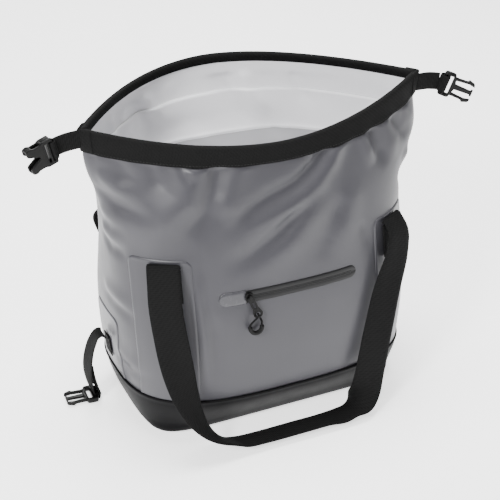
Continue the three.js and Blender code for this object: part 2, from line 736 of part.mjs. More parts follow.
// A strip on the front's bulge, round the zip's vertical axis and leaning with the wall.
function zipStrip(x0, x1, halfHeight, low, high, steps) {
  const rings = [];
  for (let i = 0; i <= steps; i += 1) {
    const angle = Math.asin((x0 + ((x1 - x0) * i) / steps) / ZIP_RADIUS);
    const corner = (off, dz) => {
      const radius = ZIP_RADIUS + off - ZIP_SLOPE * dz;
      return new THREE.Vector3(
        radius * Math.sin(angle), zipAxisY - radius * Math.cos(angle), ZIP_HEIGHT + dz,
      );
    };
    rings.push([
      corner(low, -halfHeight), corner(high, -halfHeight), corner(high, halfHeight), corner(low, halfHeight),
    ]);
  }
  return loft(rings);
}

// The slider's frame: x along the zip, y up the wall, z off the wall.
function sliderGroup() {
  const angle = Math.asin(SLIDER_X / ZIP_RADIUS);
  const along = new THREE.Vector3(Math.cos(angle), Math.sin(angle), 0);
  const out = new THREE.Vector3(Math.sin(angle), -Math.cos(angle), 0);
  const up = new THREE.Vector3(0, 0, 1).addScaledVector(out, -ZIP_SLOPE).normalize();
  const off = along.clone().cross(up);
  const at = new THREE.Vector3(0, zipAxisY, ZIP_HEIGHT).addScaledVector(out, ZIP_RADIUS);
  const group = new THREE.Group();
  group.applyMatrix4(new THREE.Matrix4().makeBasis(along, up, off).setPosition(at));
  bag.add(group);
  return group;
}

const PULL_ANGLE = 22; // the tab lies this far from straight down, towards the right
const PULL_LENGTH = 26.9;
const GRIP_CENTRE = new THREE.Vector2(4.8, -36.6);
const GRIP_OUTER = 9.2;
const GRIP_INNER = 4.8;
const CORD_DIAMETER = 2.4;
const CORD_OFF = 6.8; // height of the cord and grip off the wall

// The cord's route in the slider's frame: out of one arm of the grip, through the tab's end hole
// and back to the other arm.
const CORD_ROUTE = [
  [-2.2, -34.2, 6.8], [-1.9, -32.4, 7.1], [-0.6, -30, 8.4], [1.6, -27.2, 9.8], [4, -24.4, 10.9],
  [6.1, -22.2, 11.4], [7.6, -20.9, 10.4], [8.1, -20.7, 7.8], [8.5, -21.1, 5.2],
  [9.2, -22.8, 4.1], [10.6, -26, 3.9], [11.8, -29, 4.4], [12.3, -31.2, 5.5], [12, -33, 6.5],
  [11.8, -34.2, 6.8],
];

function pullTab() {
  const outline = new THREE.Shape();
  outline.moveTo(-2.6, -1.6);
  outline.lineTo(-3, -PULL_LENGTH + 11);
  outline.lineTo(-4.6, -PULL_LENGTH + 7);
  outline.absarc(0, -PULL_LENGTH + 4.6, 4.6, Math.PI, 2 * Math.PI);
  outline.lineTo(4.6, -PULL_LENGTH + 7);
  outline.lineTo(3, -PULL_LENGTH + 11);
  outline.lineTo(2.6, -1.6);
  const hole = new THREE.Path();
  hole.absellipse(0, -PULL_LENGTH + 4.9, 2.8, 2.9, 0, 2 * Math.PI, true);
  const light = new THREE.Path();
  light.moveTo(-1, -6);
  light.lineTo(1, -6);
  light.lineTo(1, -14);
  light.lineTo(-1, -14);
  outline.holes.push(hole, light);
  const options = { depth: 1.6, bevelEnabled: false, curveSegments: 6 };
  const tab = new THREE.ExtrudeGeometry(outline, options);
  return tab.rotateZ(THREE.MathUtils.degToRad(PULL_ANGLE)).translate(0, 0, 7);
}

function gripShape() {
  const outline = new THREE.Shape();
  const { x, y } = GRIP_CENTRE;
  outline.moveTo(x - GRIP_OUTER, y + 2);
  outline.absarc(x, y, GRIP_OUTER, Math.PI, 2 * Math.PI);
  outline.lineTo(x + GRIP_OUTER, y + 2);
  outline.lineTo(x + GRIP_INNER, y + 2);
  outline.absarc(x, y, GRIP_INNER, 2 * Math.PI, Math.PI, true);
  outline.lineTo(x - GRIP_INNER, y + 2);
  const options = { depth: 4.4, bevelEnabled: false, curveSegments: 8 };
  return new THREE.ExtrudeGeometry(outline, options).translate(0, 0, CORD_OFF - 2.2);
}

function cordTube() {
  const path = new THREE.CatmullRomCurve3(
    CORD_ROUTE.map(([x, y, z]) => new THREE.Vector3(x, y, z)), false, "centripetal",
  );
  const section = new THREE.Shape();
  section.absarc(0, 0, CORD_DIAMETER / 2, 0, 2 * Math.PI);
  return new THREE.ExtrudeGeometry(section, { steps: 24, extrudePath: path, curveSegments: 4 });
}

function addPocket() {
  add("pocket_bag", bandPanel({
    low: POCKET_LOW, high: POCKET_TOP, outer: constant(-(FABRIC + 0.5)), inner: constant(-(FABRIC + 1.7)),
    first: 5, last: 15,
  }), LINING_WHITE);
  add("zip_tape", zipStrip(ZIP_LEFT, ZIP_RIGHT, ZIP_BAND / 2, 0, 0.8, 10), ZIP_GREY);
  add("zip_coil", zipStrip(ZIP_LEFT + 1, ZIP_RIGHT - 6, 1.4, 1.1, 1.7, 10), ZIP_GREY);
  add("zip_garage", zipStrip(ZIP_LEFT - GARAGE_LENGTH - 0.4, ZIP_LEFT - 0.4, 8.5, 0, 1.2, 4), COATED_GREY);
  const group = sliderGroup();
  const slider = join(
    block(-4.5, 4.5, -4.8, 4.8, 2.1, 4.6),
    block(-1.3, 1.3, -0.5, 3.6, 4.2, 8.9),
  );
  add("zip_slider", slider, METAL_DARK, group);
  add("zip_pull", pullTab(), METAL_DARK, group);
  add("pull_cord", cordTube(), CORD_BLACK, group);
  add("pull_grip", gripShape(), PLASTIC_BLACK, group);
}

addMouth(addBody());
for (const isFront of [true, false]) addHandle(isFront);
for (const side of ["left", "right"]) {
  addSideStrap(side);
  addMouthStrap(side);
}
addBuckles();
addPocket();

export default bag;
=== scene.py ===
"""A soft insulated cooler bag standing open: fabric body, boot, lining, webbing, buckles and zip."""
import math

import bmesh
import bpy
import numpy as np
from mathutils import Matrix, Vector


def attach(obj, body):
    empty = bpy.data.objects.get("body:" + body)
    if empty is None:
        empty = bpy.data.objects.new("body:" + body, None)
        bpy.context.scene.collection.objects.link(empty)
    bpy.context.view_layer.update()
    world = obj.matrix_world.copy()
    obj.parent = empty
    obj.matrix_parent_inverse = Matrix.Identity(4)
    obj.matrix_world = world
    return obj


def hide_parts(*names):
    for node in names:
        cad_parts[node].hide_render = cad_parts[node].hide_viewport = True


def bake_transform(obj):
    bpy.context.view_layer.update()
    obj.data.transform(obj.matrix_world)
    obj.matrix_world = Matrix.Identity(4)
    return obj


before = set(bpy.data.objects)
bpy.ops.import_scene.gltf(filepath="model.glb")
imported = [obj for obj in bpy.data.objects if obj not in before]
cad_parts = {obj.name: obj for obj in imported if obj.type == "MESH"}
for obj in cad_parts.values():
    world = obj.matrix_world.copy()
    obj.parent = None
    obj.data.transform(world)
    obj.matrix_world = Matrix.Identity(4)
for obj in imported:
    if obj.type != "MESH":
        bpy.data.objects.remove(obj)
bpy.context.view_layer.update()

MM = 0.001


def add_object(name, data):
    """A new object in the scene that shows this data."""
    made = bpy.data.objects.new(name, data)
    bpy.context.collection.objects.link(made)
    return made


# ---------------------------------------------------------------- camera and lights
CAMERA_AT = Vector((-0.5562, -1.2587, 0.9272))
CAMERA_AZIMUTH = math.radians(-24.17)
CAMERA_ELEVATION = math.radians(28.66)
CAMERA_ROLL = math.radians(-0.39)
LENS = 91.7
SHIFT_X = -0.0141
SHIFT_Y = 0.0064


def aimed(azimuth, elevation, roll):
    """Rotation that looks back along this direction."""
    sa, ca = math.sin(azimuth), math.cos(azimuth)
    se, ce = math.sin(elevation), math.cos(elevation)
    back = Vector((sa * ce, -ca * ce, se))
    right = Vector((ca, sa, 0))
    up = back.cross(right)
    turned_right = right * math.cos(roll) + up * math.sin(roll)
    turned_up = up * math.cos(roll) - right * math.sin(roll)
    return Matrix((turned_right, turned_up, back)).transposed()


camera_data = bpy.data.cameras.new("camera")
camera_data.lens = LENS
camera_data.shift_x = SHIFT_X
camera_data.shift_y = SHIFT_Y
camera_data.clip_end = 50
camera = add_object("camera", camera_data)
rotation = aimed(CAMERA_AZIMUTH, CAMERA_ELEVATION, CAMERA_ROLL)
camera.matrix_world = Matrix.Translation(CAMERA_AT) @ rotation.to_4x4()
bpy.context.scene.camera = camera


def area_light(name, at, target, size, power):
    data = bpy.data.lights.new(name, "AREA")
    data.shape = "DISK"
    data.size = size
    data.energy = power
    lamp = add_object(name, data)
    lamp.location = at
    lamp.rotation_euler = (Vector(target) - Vector(at)).to_track_quat("-Z", "Y").to_euler()


# Name, place and target in metres, size in metres, power in watts
LIGHTS = (
    ("key", (-2.0, -1.5, 1.9), (0, 0, 0.2), 0.7, 104),
    ("fill", (2.4, -1.6, 1.4), (0, 0, 0.15), 1.2, 8),
    ("top", (0.1, 0.3, 2.9), (0, 0, 0.1), 1.9, 160),
    ("back", (0.6, 2.6, 1.6), (0, 0, 0.2), 1.2, 30),
)
WORLD_STRENGTH = 0.36
for light in LIGHTS:
    area_light(*light)
world = bpy.data.worlds.new("studio")
world.use_nodes = True
background = world.node_tree.nodes["Background"]
background.inputs["Color"].default_value = (1, 1, 1, 1)
background.inputs["Strength"].default_value = WORLD_STRENGTH
bpy.context.scene.world = world


# ---------------------------------------------------------------- materials
class Shader:
    """A small helper round one node material."""

    def __init__(self, name):
        self.material = bpy.data.materials.new(name)
        self.material.use_nodes = True
        self.tree = self.material.node_tree
        self.shader = self.tree.nodes["Principled BSDF"]

    def node(self, kind, **values):
        made = self.tree.nodes.new(kind)
        for key, value in values.items():
            setattr(made, key, value)
        return made

    def link(self, source, target):
        self.tree.links.new(source, target)

    def fixed(self, **values):
        for key, value in values.items():
            self.shader.inputs[key.replace("_", " ")].default_value = value

    def coordinates(self, kind="Object"):
        return self.node("ShaderNodeTexCoord").outputs[kind]

    def noise(self, vector, scale, detail=3.0, roughness=0.5):
        made = self.node("ShaderNodeTexNoise")
        made.inputs["Scale"].default_value = scale
        made.inputs["Detail"].default_value = detail
        made.inputs["Roughness"].default_value = roughness
        self.link(vector, made.inputs["Vector"])
        return made.outputs["Fac"]

    def wave(self, vector, scale, direction, distortion):
        made = self.node("ShaderNodeTexWave", bands_direction=direction)
        made.inputs["Scale"].default_value = scale
        made.inputs["Distortion"].default_value = distortion
        self.link(vector, made.inputs["Vector"])
        return made.outputs["Fac"]

    def math(self, operation, a, b):
        made = self.node("ShaderNodeMath", operation=operation)
        for socket, value in zip(made.inputs, (a, b)):
            if isinstance(value, (int, float)):
                socket.default_value = value
            else:
                self.link(value, socket)
        return made.outputs["Value"]

    def ramp(self, value, low, high, at=(0.3, 0.7)):
        made = self.node("ShaderNodeValToRGB")
        first, last = made.color_ramp.elements
        first.position, last.position = at
        first.color = (*low, 1)
        last.color = (*high, 1)
        self.link(value, made.inputs["Fac"])
        return made.outputs["Color"]

    def range(self, value, low, high):
        made = self.node("ShaderNodeMapRange")
        made.inputs["To Min"].default_value = low
        made.inputs["To Max"].default_value = high
        self.link(value, made.inputs["Value"])
        return made.outputs["Result"]

    def bump(self, height, strength, distance):
        made = self.node("ShaderNodeBump")
        made.inputs["Strength"].default_value = strength
        made.inputs["Distance"].default_value = distance
        self.link(height, made.inputs["Height"])
        self.link(made.outputs["Normal"], self.shader.inputs["Normal"])


CLOTH_GRAIN = 0.00007


def cloth_material(name, low, high, rough, coat=0.0, weave=0.0, spec=0.35):
    """Coated cloth: slight mottling, a fine grain, and if wanted a fine weave."""
    made = Shader(name)
    at = made.coordinates()
    made.link(made.ramp(made.noise(at, 9, 4), low, high), made.shader.inputs["Base Color"])
    made.link(made.range(made.noise(at, 60, 3), rough - 0.05, rough + 0.06),
              made.shader.inputs["Roughness"])
    height = made.noise(at, 900, 2, 0.6)
    if weave:
        across = made.wave(at, weave, "X", 0.6)
        upward = made.wave(at, weave, "Z", 0.6)
        height = made.math("ADD", height, made.math("MULTIPLY", across, upward))
    made.bump(height, 0.35, CLOTH_GRAIN)
    made.fixed(Coat_Weight=coat, Coat_Roughness=0.4, Specular_IOR_Level=spec)
    return made.material


def webbing_material(name, low, high, rib, rough=0.72):
    """Woven tape: ribs across it, and a finer chevron along it. U runs across, V along, in metres."""
    made = Shader(name)
    at = made.coordinates("UV")
    ribs = made.wave(at, 0.16 / rib, "Y", 0.15)
    chevrons = made.wave(at, 0.11 / rib, "DIAGONAL", 0.1)
    height = made.math("ADD", ribs, made.math("MULTIPLY", chevrons, 0.6))
    made.link(made.ramp(height, low, high, (0.2, 1.0)), made.shader.inputs["Base Color"])
    made.link(made.range(made.noise(at, 700, 2), rough - 0.08, rough + 0.08),
              made.shader.inputs["Roughness"])
    made.bump(height, 0.7, 0.00022)
    made.fixed(Specular_IOR_Level=0.12)
    return made.material


def solid_material(name, low, high, rough, metal=0.0, scale=40, grain=0.00002, coat=0.0, grain_scale=700,
                   spec=0.35):
    """Moulded plastic, metal, foam or board."""
    made = Shader(name)
    at = made.coordinates()
    made.link(made.ramp(made.noise(at, scale, 3), low, high), made.shader.inputs["Base Color"])
    made.link(made.range(made.noise(at, scale * 4, 2), rough - 0.06, rough + 0.06),
              made.shader.inputs["Roughness"])
    made.bump(made.noise(at, grain_scale, 2), 0.4, grain)
    made.fixed(Metallic=metal, Coat_Weight=coat, Coat_Roughness=0.25, Specular_IOR_Level=spec)
    return made.material


def grey(value, tint=0.0):
    return (value, value * (1 - tint * 0.15), value * (1 + tint))


WEAVE = 160
CLOTH_GREYS = grey(0.040, 0.13), grey(0.046, 0.13)
COATED = cloth_material("coated_grey", *CLOTH_GREYS, 0.41, 0.08, WEAVE)
PATCHED = cloth_material("coated_patch", *CLOTH_GREYS, 0.36, 0.12, WEAVE)
BOOTED = cloth_material("boot_charcoal", grey(0.0035, 0.1), grey(0.005, 0.1), 0.48, weave=WEAVE, spec=0.05)
LINING = cloth_material("lining_white", grey(0.92, 0.02), grey(0.96, 0.02), 0.38, 0.15)
# The lining's lower part is a darker grey: painted shade for the dim depths inside the bag.
LINING_PAINTED_SHADE = cloth_material("lining_painted_shade", grey(0.42, 0.03), grey(0.50, 0.03), 0.24, 0.3)
WELDED = cloth_material("lining_weld", grey(0.66, 0.02), grey(0.74, 0.02), 0.45, 0.2)
WEBBED = webbing_material("webbing_black", grey(0.0025), grey(0.0055), 0.0012, 0.82)
BOUND = webbing_material("binding_black", grey(0.0025), grey(0.0055), 0.0009, 0.82)
MOULDED = solid_material("plastic_black", grey(0.0018), grey(0.003), 0.4, grain=0.00003, spec=0.16)
ZIPPED = cloth_material("zip_grey", grey(0.003, 0.06), grey(0.005, 0.06), 0.38, spec=0.26)
GARAGED = solid_material("garage_grey", grey(0.042, 0.12), grey(0.05, 0.12), 0.26, coat=0.25)
METAL = solid_material("zip_metal", grey(0.0015), grey(0.003), 0.42, metal=0.1, spec=0.2)
CORDED = webbing_material("cord_black", grey(0.003), grey(0.006), 0.0009)
FOAMED = solid_material("foam", grey(0.55), grey(0.62), 0.85, scale=120, grain=0.0003, grain_scale=400)
BOARDED = solid_material("board", grey(0.16), grey(0.2), 0.7)
THREADED = solid_material("thread_black", grey(0.003), grey(0.006), 0.8, scale=300)
FLOORED = solid_material("floor_white", grey(0.90), grey(0.92), 0.55, scale=2, grain=0.00001)
FLOOR_GLOW = 1.5
floor_shader = FLOORED.node_tree.nodes["Principled BSDF"]
floor_shader.inputs["Emission Color"].default_value = (1, 1, 1, 1)
floor_shader.inputs["Emission Strength"].default_value = FLOOR_GLOW

# ---------------------------------------------------------------- the body's surface
# Plan of the bag, in mm. Each row has a height, the half length, the depth in front and behind, the y
# of the line through the two ends, and the two exponents of |x/a|^p + |y/b|^q = 1.
SECTION_ROWS = [
    (0, 153, 82, 82, 0, 8.5, 7),
    (5, 160, 88, 88, 0, 7, 6.5),
    (16, 168, 95, 95, 0, 4.4, 4.4),
    (60, 181, 124, 124, 0, 3, 3),
    (110, 187, 126, 130, -1, 2.8, 2.8),
    (160, 189, 119, 134, -4, 2.7, 2.6),
    (205, 187, 110, 138, -7, 2.6, 2.4),
    (250, 187, 101, 142, -11, 2.4, 2.1),
    (300, 196, 88, 149, -16, 2.2, 1.7),
    (336, 203, 78, 154, -19, 2.05, 1.35),
    (361, 207.5, 71.5, 158, -21, 1.95, 1.15),
    (386, 211, 67, 160, -22, 1.86, 1),
]
RIM = 386
FRONT_SAG = 28
SAG_START = 200
BOOT = 60
HALF = 180  # surface samples along the front, and as many along the back
LOOP = 2 * HALF
FRONT_MIDDLE = HALF / 2
BACK_MIDDLE = HALF * 1.5
OUTLINE_STEPS = 721


def section_at(z):
    rows = np.array(SECTION_ROWS, float)
    last = len(rows) - 1
    k = int(np.clip(np.searchsorted(rows[:, 0], z, side="right") - 1, 0, last - 1))
    s0, s1, s2, s3 = (rows[min(max(i, 0), last)] for i in (k - 1, k, k + 1, k + 2))
    step = s2[0] - s1[0]
    t = min(max((z - s1[0]) / step, 0), 1)
    m1 = (s2 - s0) / (s2[0] - s0[0]) * step
    m2 = (s3 - s1) / (s3[0] - s1[0]) * step
    t2, t3 = t * t, t * t * t
    return (2 * t3 - 3 * t2 + 1) * s1 + (t3 - 2 * t2 + t) * m1 + (3 * t2 - 2 * t3) * s2 + (t3 - t2) * m2


def half_outline(section, front):
    _, a, f, b, mid, p, q = section
    angle = np.linspace(0, np.pi, OUTLINE_STEPS)
    cosine = -np.cos(angle)
    x = a * np.sign(cosine) * np.abs(cosine) ** (2 / p)
    y = mid + (-f if front else b) * np.abs(np.sin(angle)) ** (2 / q)
    along = np.concatenate([[0], np.cumsum(np.hypot(np.diff(x), np.diff(y)))])
    even = np.linspace(0, along[-1], HALF + 1)
    return np.interp(even, along, x), np.interp(even, along, y), along[-1]


def build_surface():
    heights = np.arange(0, RIM + 1)
    shape = (len(heights), LOOP)
    x, y, sag = np.zeros(shape), np.zeros(shape), np.zeros(shape)
    lengths = np.zeros((len(heights), 2))
    for i, z in enumerate(heights):
        section = section_at(z)
        fx, fy, fl = half_outline(section, True)
        bx, by, bl = half_outline(section, False)
        x[i] = np.concatenate([fx[:-1], bx[::-1][:-1]])
        y[i] = np.concatenate([fy[:-1], by[::-1][:-1]])
        lengths[i] = fl, bl
        forward = np.maximum(0, (section[4] - y[i]) / section[2])
        rise = max(0, (z - SAG_START) / (RIM - SAG_START))
        sag[i] = FRONT_SAG * rise**1.5 * forward
    tx = np.roll(x, -2, 1) - np.roll(x, 2, 1)
    ty = np.roll(y, -2, 1) - np.roll(y, 2, 1)
    size = np.hypot(tx, ty)
    return {"x": x, "y": y, "sag": sag, "nx": ty / size, "ny": -tx / size, "len": lengths}


SURFACE = build_surface()


def sample(table, m, z):
    """Bilinear value of a surface table at loop place m and height z."""
    m = np.mod(m, LOOP)
    z = np.clip(z, 0, RIM - 1e-6)
    m0, z0 = np.floor(m).astype(int), np.floor(z).astype(int)
    m1, z1 = (m0 + 1) % LOOP, np.minimum(z0 + 1, RIM)
    m0 = m0 % LOOP
    fm, fz = m - np.floor(m), z - z0
    low = table[z0, m0] * (1 - fm) + table[z0, m1] * fm
    high = table[z1, m0] * (1 - fm) + table[z1, m1] * fm
    return low * (1 - fz) + high * fz


def half_lengths(z):
    """Length of the front's and the back's outline at a height."""
    heights = np.clip(z, 0, RIM)
    return [np.interp(heights, np.arange(RIM + 1), column) for column in SURFACE["len"].T]


def wall_normal(m, z):
    """Level direction out of the cloth, as x and y."""
    return float(sample(SURFACE["nx"], m, z)), float(sample(SURFACE["ny"], m, z))


def place(distance, z, front=True):
    """Loop place of a point this far round from the middle of the front or back."""
    distance, z = np.broadcast_arrays(np.asarray(distance, float), np.asarray(z, float))
    fl, bl = half_lengths(z)
    near, far = (fl, bl) if front else (bl, fl)
    past = np.maximum(np.abs(distance) - near / 2, 0)
    along = np.clip(distance, -near / 2, near / 2)
    turn = along / near * HALF + np.sign(distance) * past / far * HALF
    return FRONT_MIDDLE + turn if front else BACK_MIDDLE - turn


# ---------------------------------------------------------------- folds in the cloth
# Each fold runs through points (distance round from the middle of the front or back, height), and has
# a height, which is negative for a valley, and a width on each side of its line. It fades at its ends.
FRONT_FOLDS = [
    ([(-98, 366), (-108, 340), (-116, 318), (-136, 298), (-156, 276), (-186, 246)], 7.6, 17, 26),
    ([(-78, 360), (-84, 330), (-96, 300), (-122, 268)], -4.6, 15, 10),
    ([(-118, 366), (-112, 350), (-104, 336)], -2.4, 6, 7),
    ([(-50, 362), (-62, 336), (-70, 314), (-64, 296), (-48, 284)], 3.6, 18, 14),
    ([(56, 366), (40, 344), (14, 325), (-22, 311), (-58, 290), (-84, 268)], -5.2, 12, 12),
    ([(74, 366), (58, 342), (36, 320), (6, 300), (-30, 284), (-62, 262)], 5.4, 16, 12),
    ([(34, 304), (10, 284), (-16, 258), (-46, 240), (-92, 226)], -4.8, 14, 13),
    ([(48, 312), (28, 282), (2, 254), (-28, 232), (-60, 218)], 4.2, 22, 12),
    ([(72, 300), (60, 268), (42, 232), (20, 214)], -3.0, 12, 16),
    ([(92, 316), (82, 276), (64, 234), (46, 214)], 3.0, 20, 16),
    ([(106, 368), (114, 344), (128, 314)], 3.6, 9, 10),
    ([(124, 364), (134, 334), (150, 300)], -3.4, 10, 10),
    ([(146, 362), (158, 332), (170, 306)], 2.6, 12, 10),
    ([(-186, 366), (-180, 348), (-170, 328)], -1.8, 8, 12),
    ([(-150, 362), (-146, 344), (-136, 330)], -1.4, 8, 10),
    ([(-216, 344), (-190, 326), (-160, 318)], 3.6, 11, 10),
    ([(-232, 322), (-200, 306), (-168, 298), (-140, 302)], -3.4, 10, 10),
    ([(-236, 290), (-206, 282), (-176, 280)], 2.6, 11, 10),
    ([(-244, 250), (-224, 240), (-204, 242), (-188, 254)], -3.2, 7, 9),
    ([(-240, 266), (-214, 258), (-192, 266)], 2.8, 9, 8),
    ([(-266, 168), (-226, 168), (-196, 164), (-176, 174)], -2.2, 6, 8),
    ([(-262, 184), (-222, 180), (-190, 180)], 2.0, 9, 8),
    ([(-240, 92), (-206, 84), (-176, 88), (-154, 96)], -1.8, 6, 8),
    ([(-244, 110), (-208, 100), (-176, 104)], 1.6, 10, 8),
    ([(186, 306), (208, 290), (236, 292)], 3.8, 10, 10),
    ([(180, 280), (206, 264), (238, 270)], -3.6, 8, 9),
    ([(168, 356), (184, 332), (210, 316)], -3.4, 10, 10),
    ([(186, 366), (204, 346), (226, 336)], 2.6, 10, 10),
    ([(94, 254), (106, 226), (110, 196)], -1.6, 9, 12),
    ([(-110, 190), (-60, 150), (0, 130)], 1.4, 30, 30),
    ([(-108, 236), (-112, 190), (-109, 140), (-107, 96), (-112, 62)], 4.2, 6, 9),
    ([(-98, 180), (-96, 130), (-99, 84)], -2.0, 7, 6),
]
BACK_FOLDS = [
    ([(-120, 362), (-96, 330), (-58, 306), (-20, 292)], 3.4, 10, 22),
    ([(-96, 356), (-74, 322), (-38, 296)], -2.6, 12, 12),
    ([(24, 364), (34, 334), (58, 304), (96, 274), (132, 252)], 3.4, 11, 24),
    ([(52, 358), (62, 328), (86, 298)], -2.6, 12, 12),
    ([(-30, 300), (2, 270), (44, 246), (86, 236)], -2.4, 12, 14),
    ([(-96, 280), (-60, 252), (-22, 238)], 2.0, 14, 12),
    ([(112, 362), (122, 338), (140, 316)], 2.2, 8, 8),
    ([(-176, 356), (-166, 330), (-150, 306)], -2.2, 9, 9),
]
GATHER_SEED = 11
FROM_RIM = 350  # a fold that starts above this height is at full height from its start
BACK_STRENGTH = 1.4
DEEPEST, HIGHEST = -5, 9


def ridge(s, z, points, height, left, right):
    """A soft ridge along a line of points, steeper on one side than on the other."""
    line = np.array(points, float)
    best = np.full(s.shape, 1e9)
    side = np.ones(s.shape)
    along = np.zeros(s.shape)
    lengths = np.hypot(*np.diff(line, axis=0).T)
    total = lengths.sum()
    start = 0.0
    for (s0, z0), (s1, z1), length in zip(line[:-1], line[1:], lengths):
        ds, dz = (s1 - s0) / length, (z1 - z0) / length
        t = np.clip((s - s0) * ds + (z - z0) * dz, 0, length)
        gap = np.hypot(s - s0 - ds * t, z - z0 - dz * t)
        nearer = gap < best
        best = np.where(nearer, gap, best)
        side = np.where(nearer, ds * (z - z0) - dz * (s - s0), side)
        along = np.where(nearer, (start + t) / total, along)
        start += length
    width = np.where(side > 0, left, right) * (0.75 + 0.5 * along)
    from_top = 1 if points[0][1] > FROM_RIM else 0
    begun = np.maximum(np.clip(along / 0.3, 0, 1), from_top)
    taper = smooth_step(begun * np.clip((1 - along) / 0.45, 0, 1), 0, 1)
    return height * np.exp(-((best / width) ** 2)) * (0.06 + 0.94 * taper)


def soft_noise(s, z, seed, scale_s, scale_z, waves=14):
    """A smooth undulation from seeded waves in many directions."""
    rng = np.random.default_rng(seed)
    total = np.zeros(s.shape)
    for _ in range(waves):
        angle, phase, stretch = rng.uniform(0, 2 * np.pi, 2).tolist() + [rng.uniform(0.6, 1.6)]
        total += np.sin(
            stretch * (np.cos(angle) * s / scale_s + np.sin(angle) * z / scale_z) + phase
        )
    return total / math.sqrt(waves)


def smooth_step(value, low, high):
    """0 up to low, 1 from high, and a smooth rise between them."""
    t = np.clip((value - low) / (high - low), 0, 1)
    return t * t * (3 - 2 * t)


def build_folds():
    heights = np.arange(RIM + 1)[:, None]
    m = np.arange(LOOP)[None, :]
    fl, bl = SURFACE["len"][:, :1], SURFACE["len"][:, 1:]
    z = np.broadcast_to(heights, (RIM + 1, LOOP)).astype(float)
    on_front = m <= HALF
    near = (m - FRONT_MIDDLE) / HALF
    s_front = np.where(on_front, near * fl, 0)
    past = np.where(m < BACK_MIDDLE, m - HALF, m - LOOP) / HALF
    s_front = np.where(on_front, s_front, np.sign(past) * fl / 2 + past * bl)
    s_back = np.where(m >= HALF, (BACK_MIDDLE - m) / HALF * bl, 1e4)
    around = np.where(on_front, s_front, s_back + 1000)
    depth = np.zeros(z.shape)
    for row in FRONT_FOLDS:
        depth += ridge(s_front, z, *row)
    for row in BACK_FOLDS:
        depth += BACK_STRENGTH * ridge(s_back, z, *row)
    upper = smooth_step(z, 200, 290)
    depth += upper * 0.5 * soft_noise(around, z, 3, 30, 38)
    depth += (0.3 + 0.5 * upper) * soft_noise(around, z, 5, 60, 70)
    # Small gathers just below the binding
    below = RIM - 25 - z
    gathers = soft_noise(around, 0 * z, GATHER_SEED, 3.4, 1, 22)
    sharp = np.clip(gathers - 0.5, 0, 3)
    depth += -1.7 * sharp * np.exp(-np.clip(below, 0, 99) / 13) * smooth_step(below, -6, 2)
    # The ends of the body crumple more, the foot is held by the boot and the rim by its binding
    ends = np.exp(-((np.minimum(np.abs(m - HALF), np.minimum(m, LOOP - m)) / 16.0) ** 2))
    right_end = np.exp(-((np.abs(m - HALF) / 22.0) ** 2))
    depth += ends * upper * 2.2 * np.sin(z / 17.0 + np.where(np.abs(m - HALF) < 90, 1.3, 0.2))
    depth += right_end * 5.5 * np.exp(-(((z - 322) / 24) ** 2))
    depth *= smooth_step(z, BOOT - 6, BOOT + 40)
    depth *= 1 - 0.8 * smooth_step(z, RIM - 30, RIM - 22)
    # Welded patches and the zip lie flatter than the cloth round them
    front_patch = smooth_step(-z, -250, -240) * smooth_step(np.abs(s_front), 108, 120)
    front_patch *= smooth_step(-np.abs(s_front), -200, -190)
    zip_zone = np.exp(-(((z - 191) / 17) ** 2)) * smooth_step(-np.abs(s_front), -105, -90)
    depth *= (1 - 0.6 * front_patch) * (1 - 0.75 * zip_zone)
    return np.clip(depth, DEEPEST, HIGHEST)


SURFACE["fold"] = build_folds()


def skin(m, z, offset=0.0, fold=1.0):
    """Points on the cloth, this far out from it, in mm. Fold is how much of the folds it follows."""
    m, z, offset = np.broadcast_arrays(*(np.asarray(v, float) for v in (m, z, offset)))
    out = offset + fold * sample(SURFACE["fold"], m, z)
    nx, ny = sample(SURFACE["nx"], m, z), sample(SURFACE["ny"], m, z)
    x = sample(SURFACE["x"], m, z) + nx * out
    y = sample(SURFACE["y"], m, z) + ny * out
    return np.stack([x, y, z - sample(SURFACE["sag"], m, z)], -1)


# ---------------------------------------------------------------- mesh helpers
def mesh_object(name, points, faces, material, uv=None):
    """points in mm; uv per vertex, in metres."""
    mesh = bpy.data.meshes.new(name)
    mesh.from_pydata((np.asarray(points, float).reshape(-1, 3) * MM).tolist(), [], faces)
    if uv is not None:
        layer = mesh.uv_layers.new(name="along")
        loops = np.zeros(len(mesh.loops), int)
        mesh.loops.foreach_get("vertex_index", loops)
        layer.data.foreach_set("uv", np.asarray(uv, float).reshape(-1, 2)[loops].ravel())
    mesh.polygons.foreach_set("use_smooth", [True] * len(mesh.polygons))
    mesh.materials.append(material)
    mesh.update()
    return add_object(name, mesh)


def grid_faces(rows, columns, wrap_rows=False, wrap_columns=False, flip=False):
    faces = []
    for r in range(rows if wrap_rows else rows - 1):
        for c in range(columns if wrap_columns else columns - 1):
            r1, c1 = (r + 1) % rows, (c + 1) % columns
            face = (r * columns + c, r * columns + c1, r1 * columns + c1, r1 * columns + c)
            faces.append(face[::-1] if flip else face)
    return faces


def tube_mesh(name, rings, material, uv=None, closed=False, flip=False):
    """Rings of points joined into a closed skin; open tubes are capped."""
    rings = np.asarray(rings, float)
    count, sides = rings.shape[:2]
    faces = grid_faces(count, sides, wrap_rows=closed, wrap_columns=True, flip=flip)
    if not closed:
        first, last = tuple(range(sides)), tuple((count - 1) * sides + k for k in range(sides))
        faces += [first if flip else first[::-1], last[::-1] if flip else last]
    made = mesh_object(name, rings, faces, material, uv)
    outward = bmesh.new()
    outward.from_mesh(made.data)
    bmesh.ops.recalc_face_normals(outward, faces=outward.faces)
    outward.to_mesh(made.data)
    outward.free()
    return made


def finish_piece(piece, body, slot, *nodes):
    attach(piece, body)
    if nodes:
        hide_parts(*nodes)
    return piece


def run_length(points):
    """Distance along a line of points, at each of them."""
    return np.concatenate([[0], np.cumsum(np.linalg.norm(np.diff(points, axis=0), axis=1))])


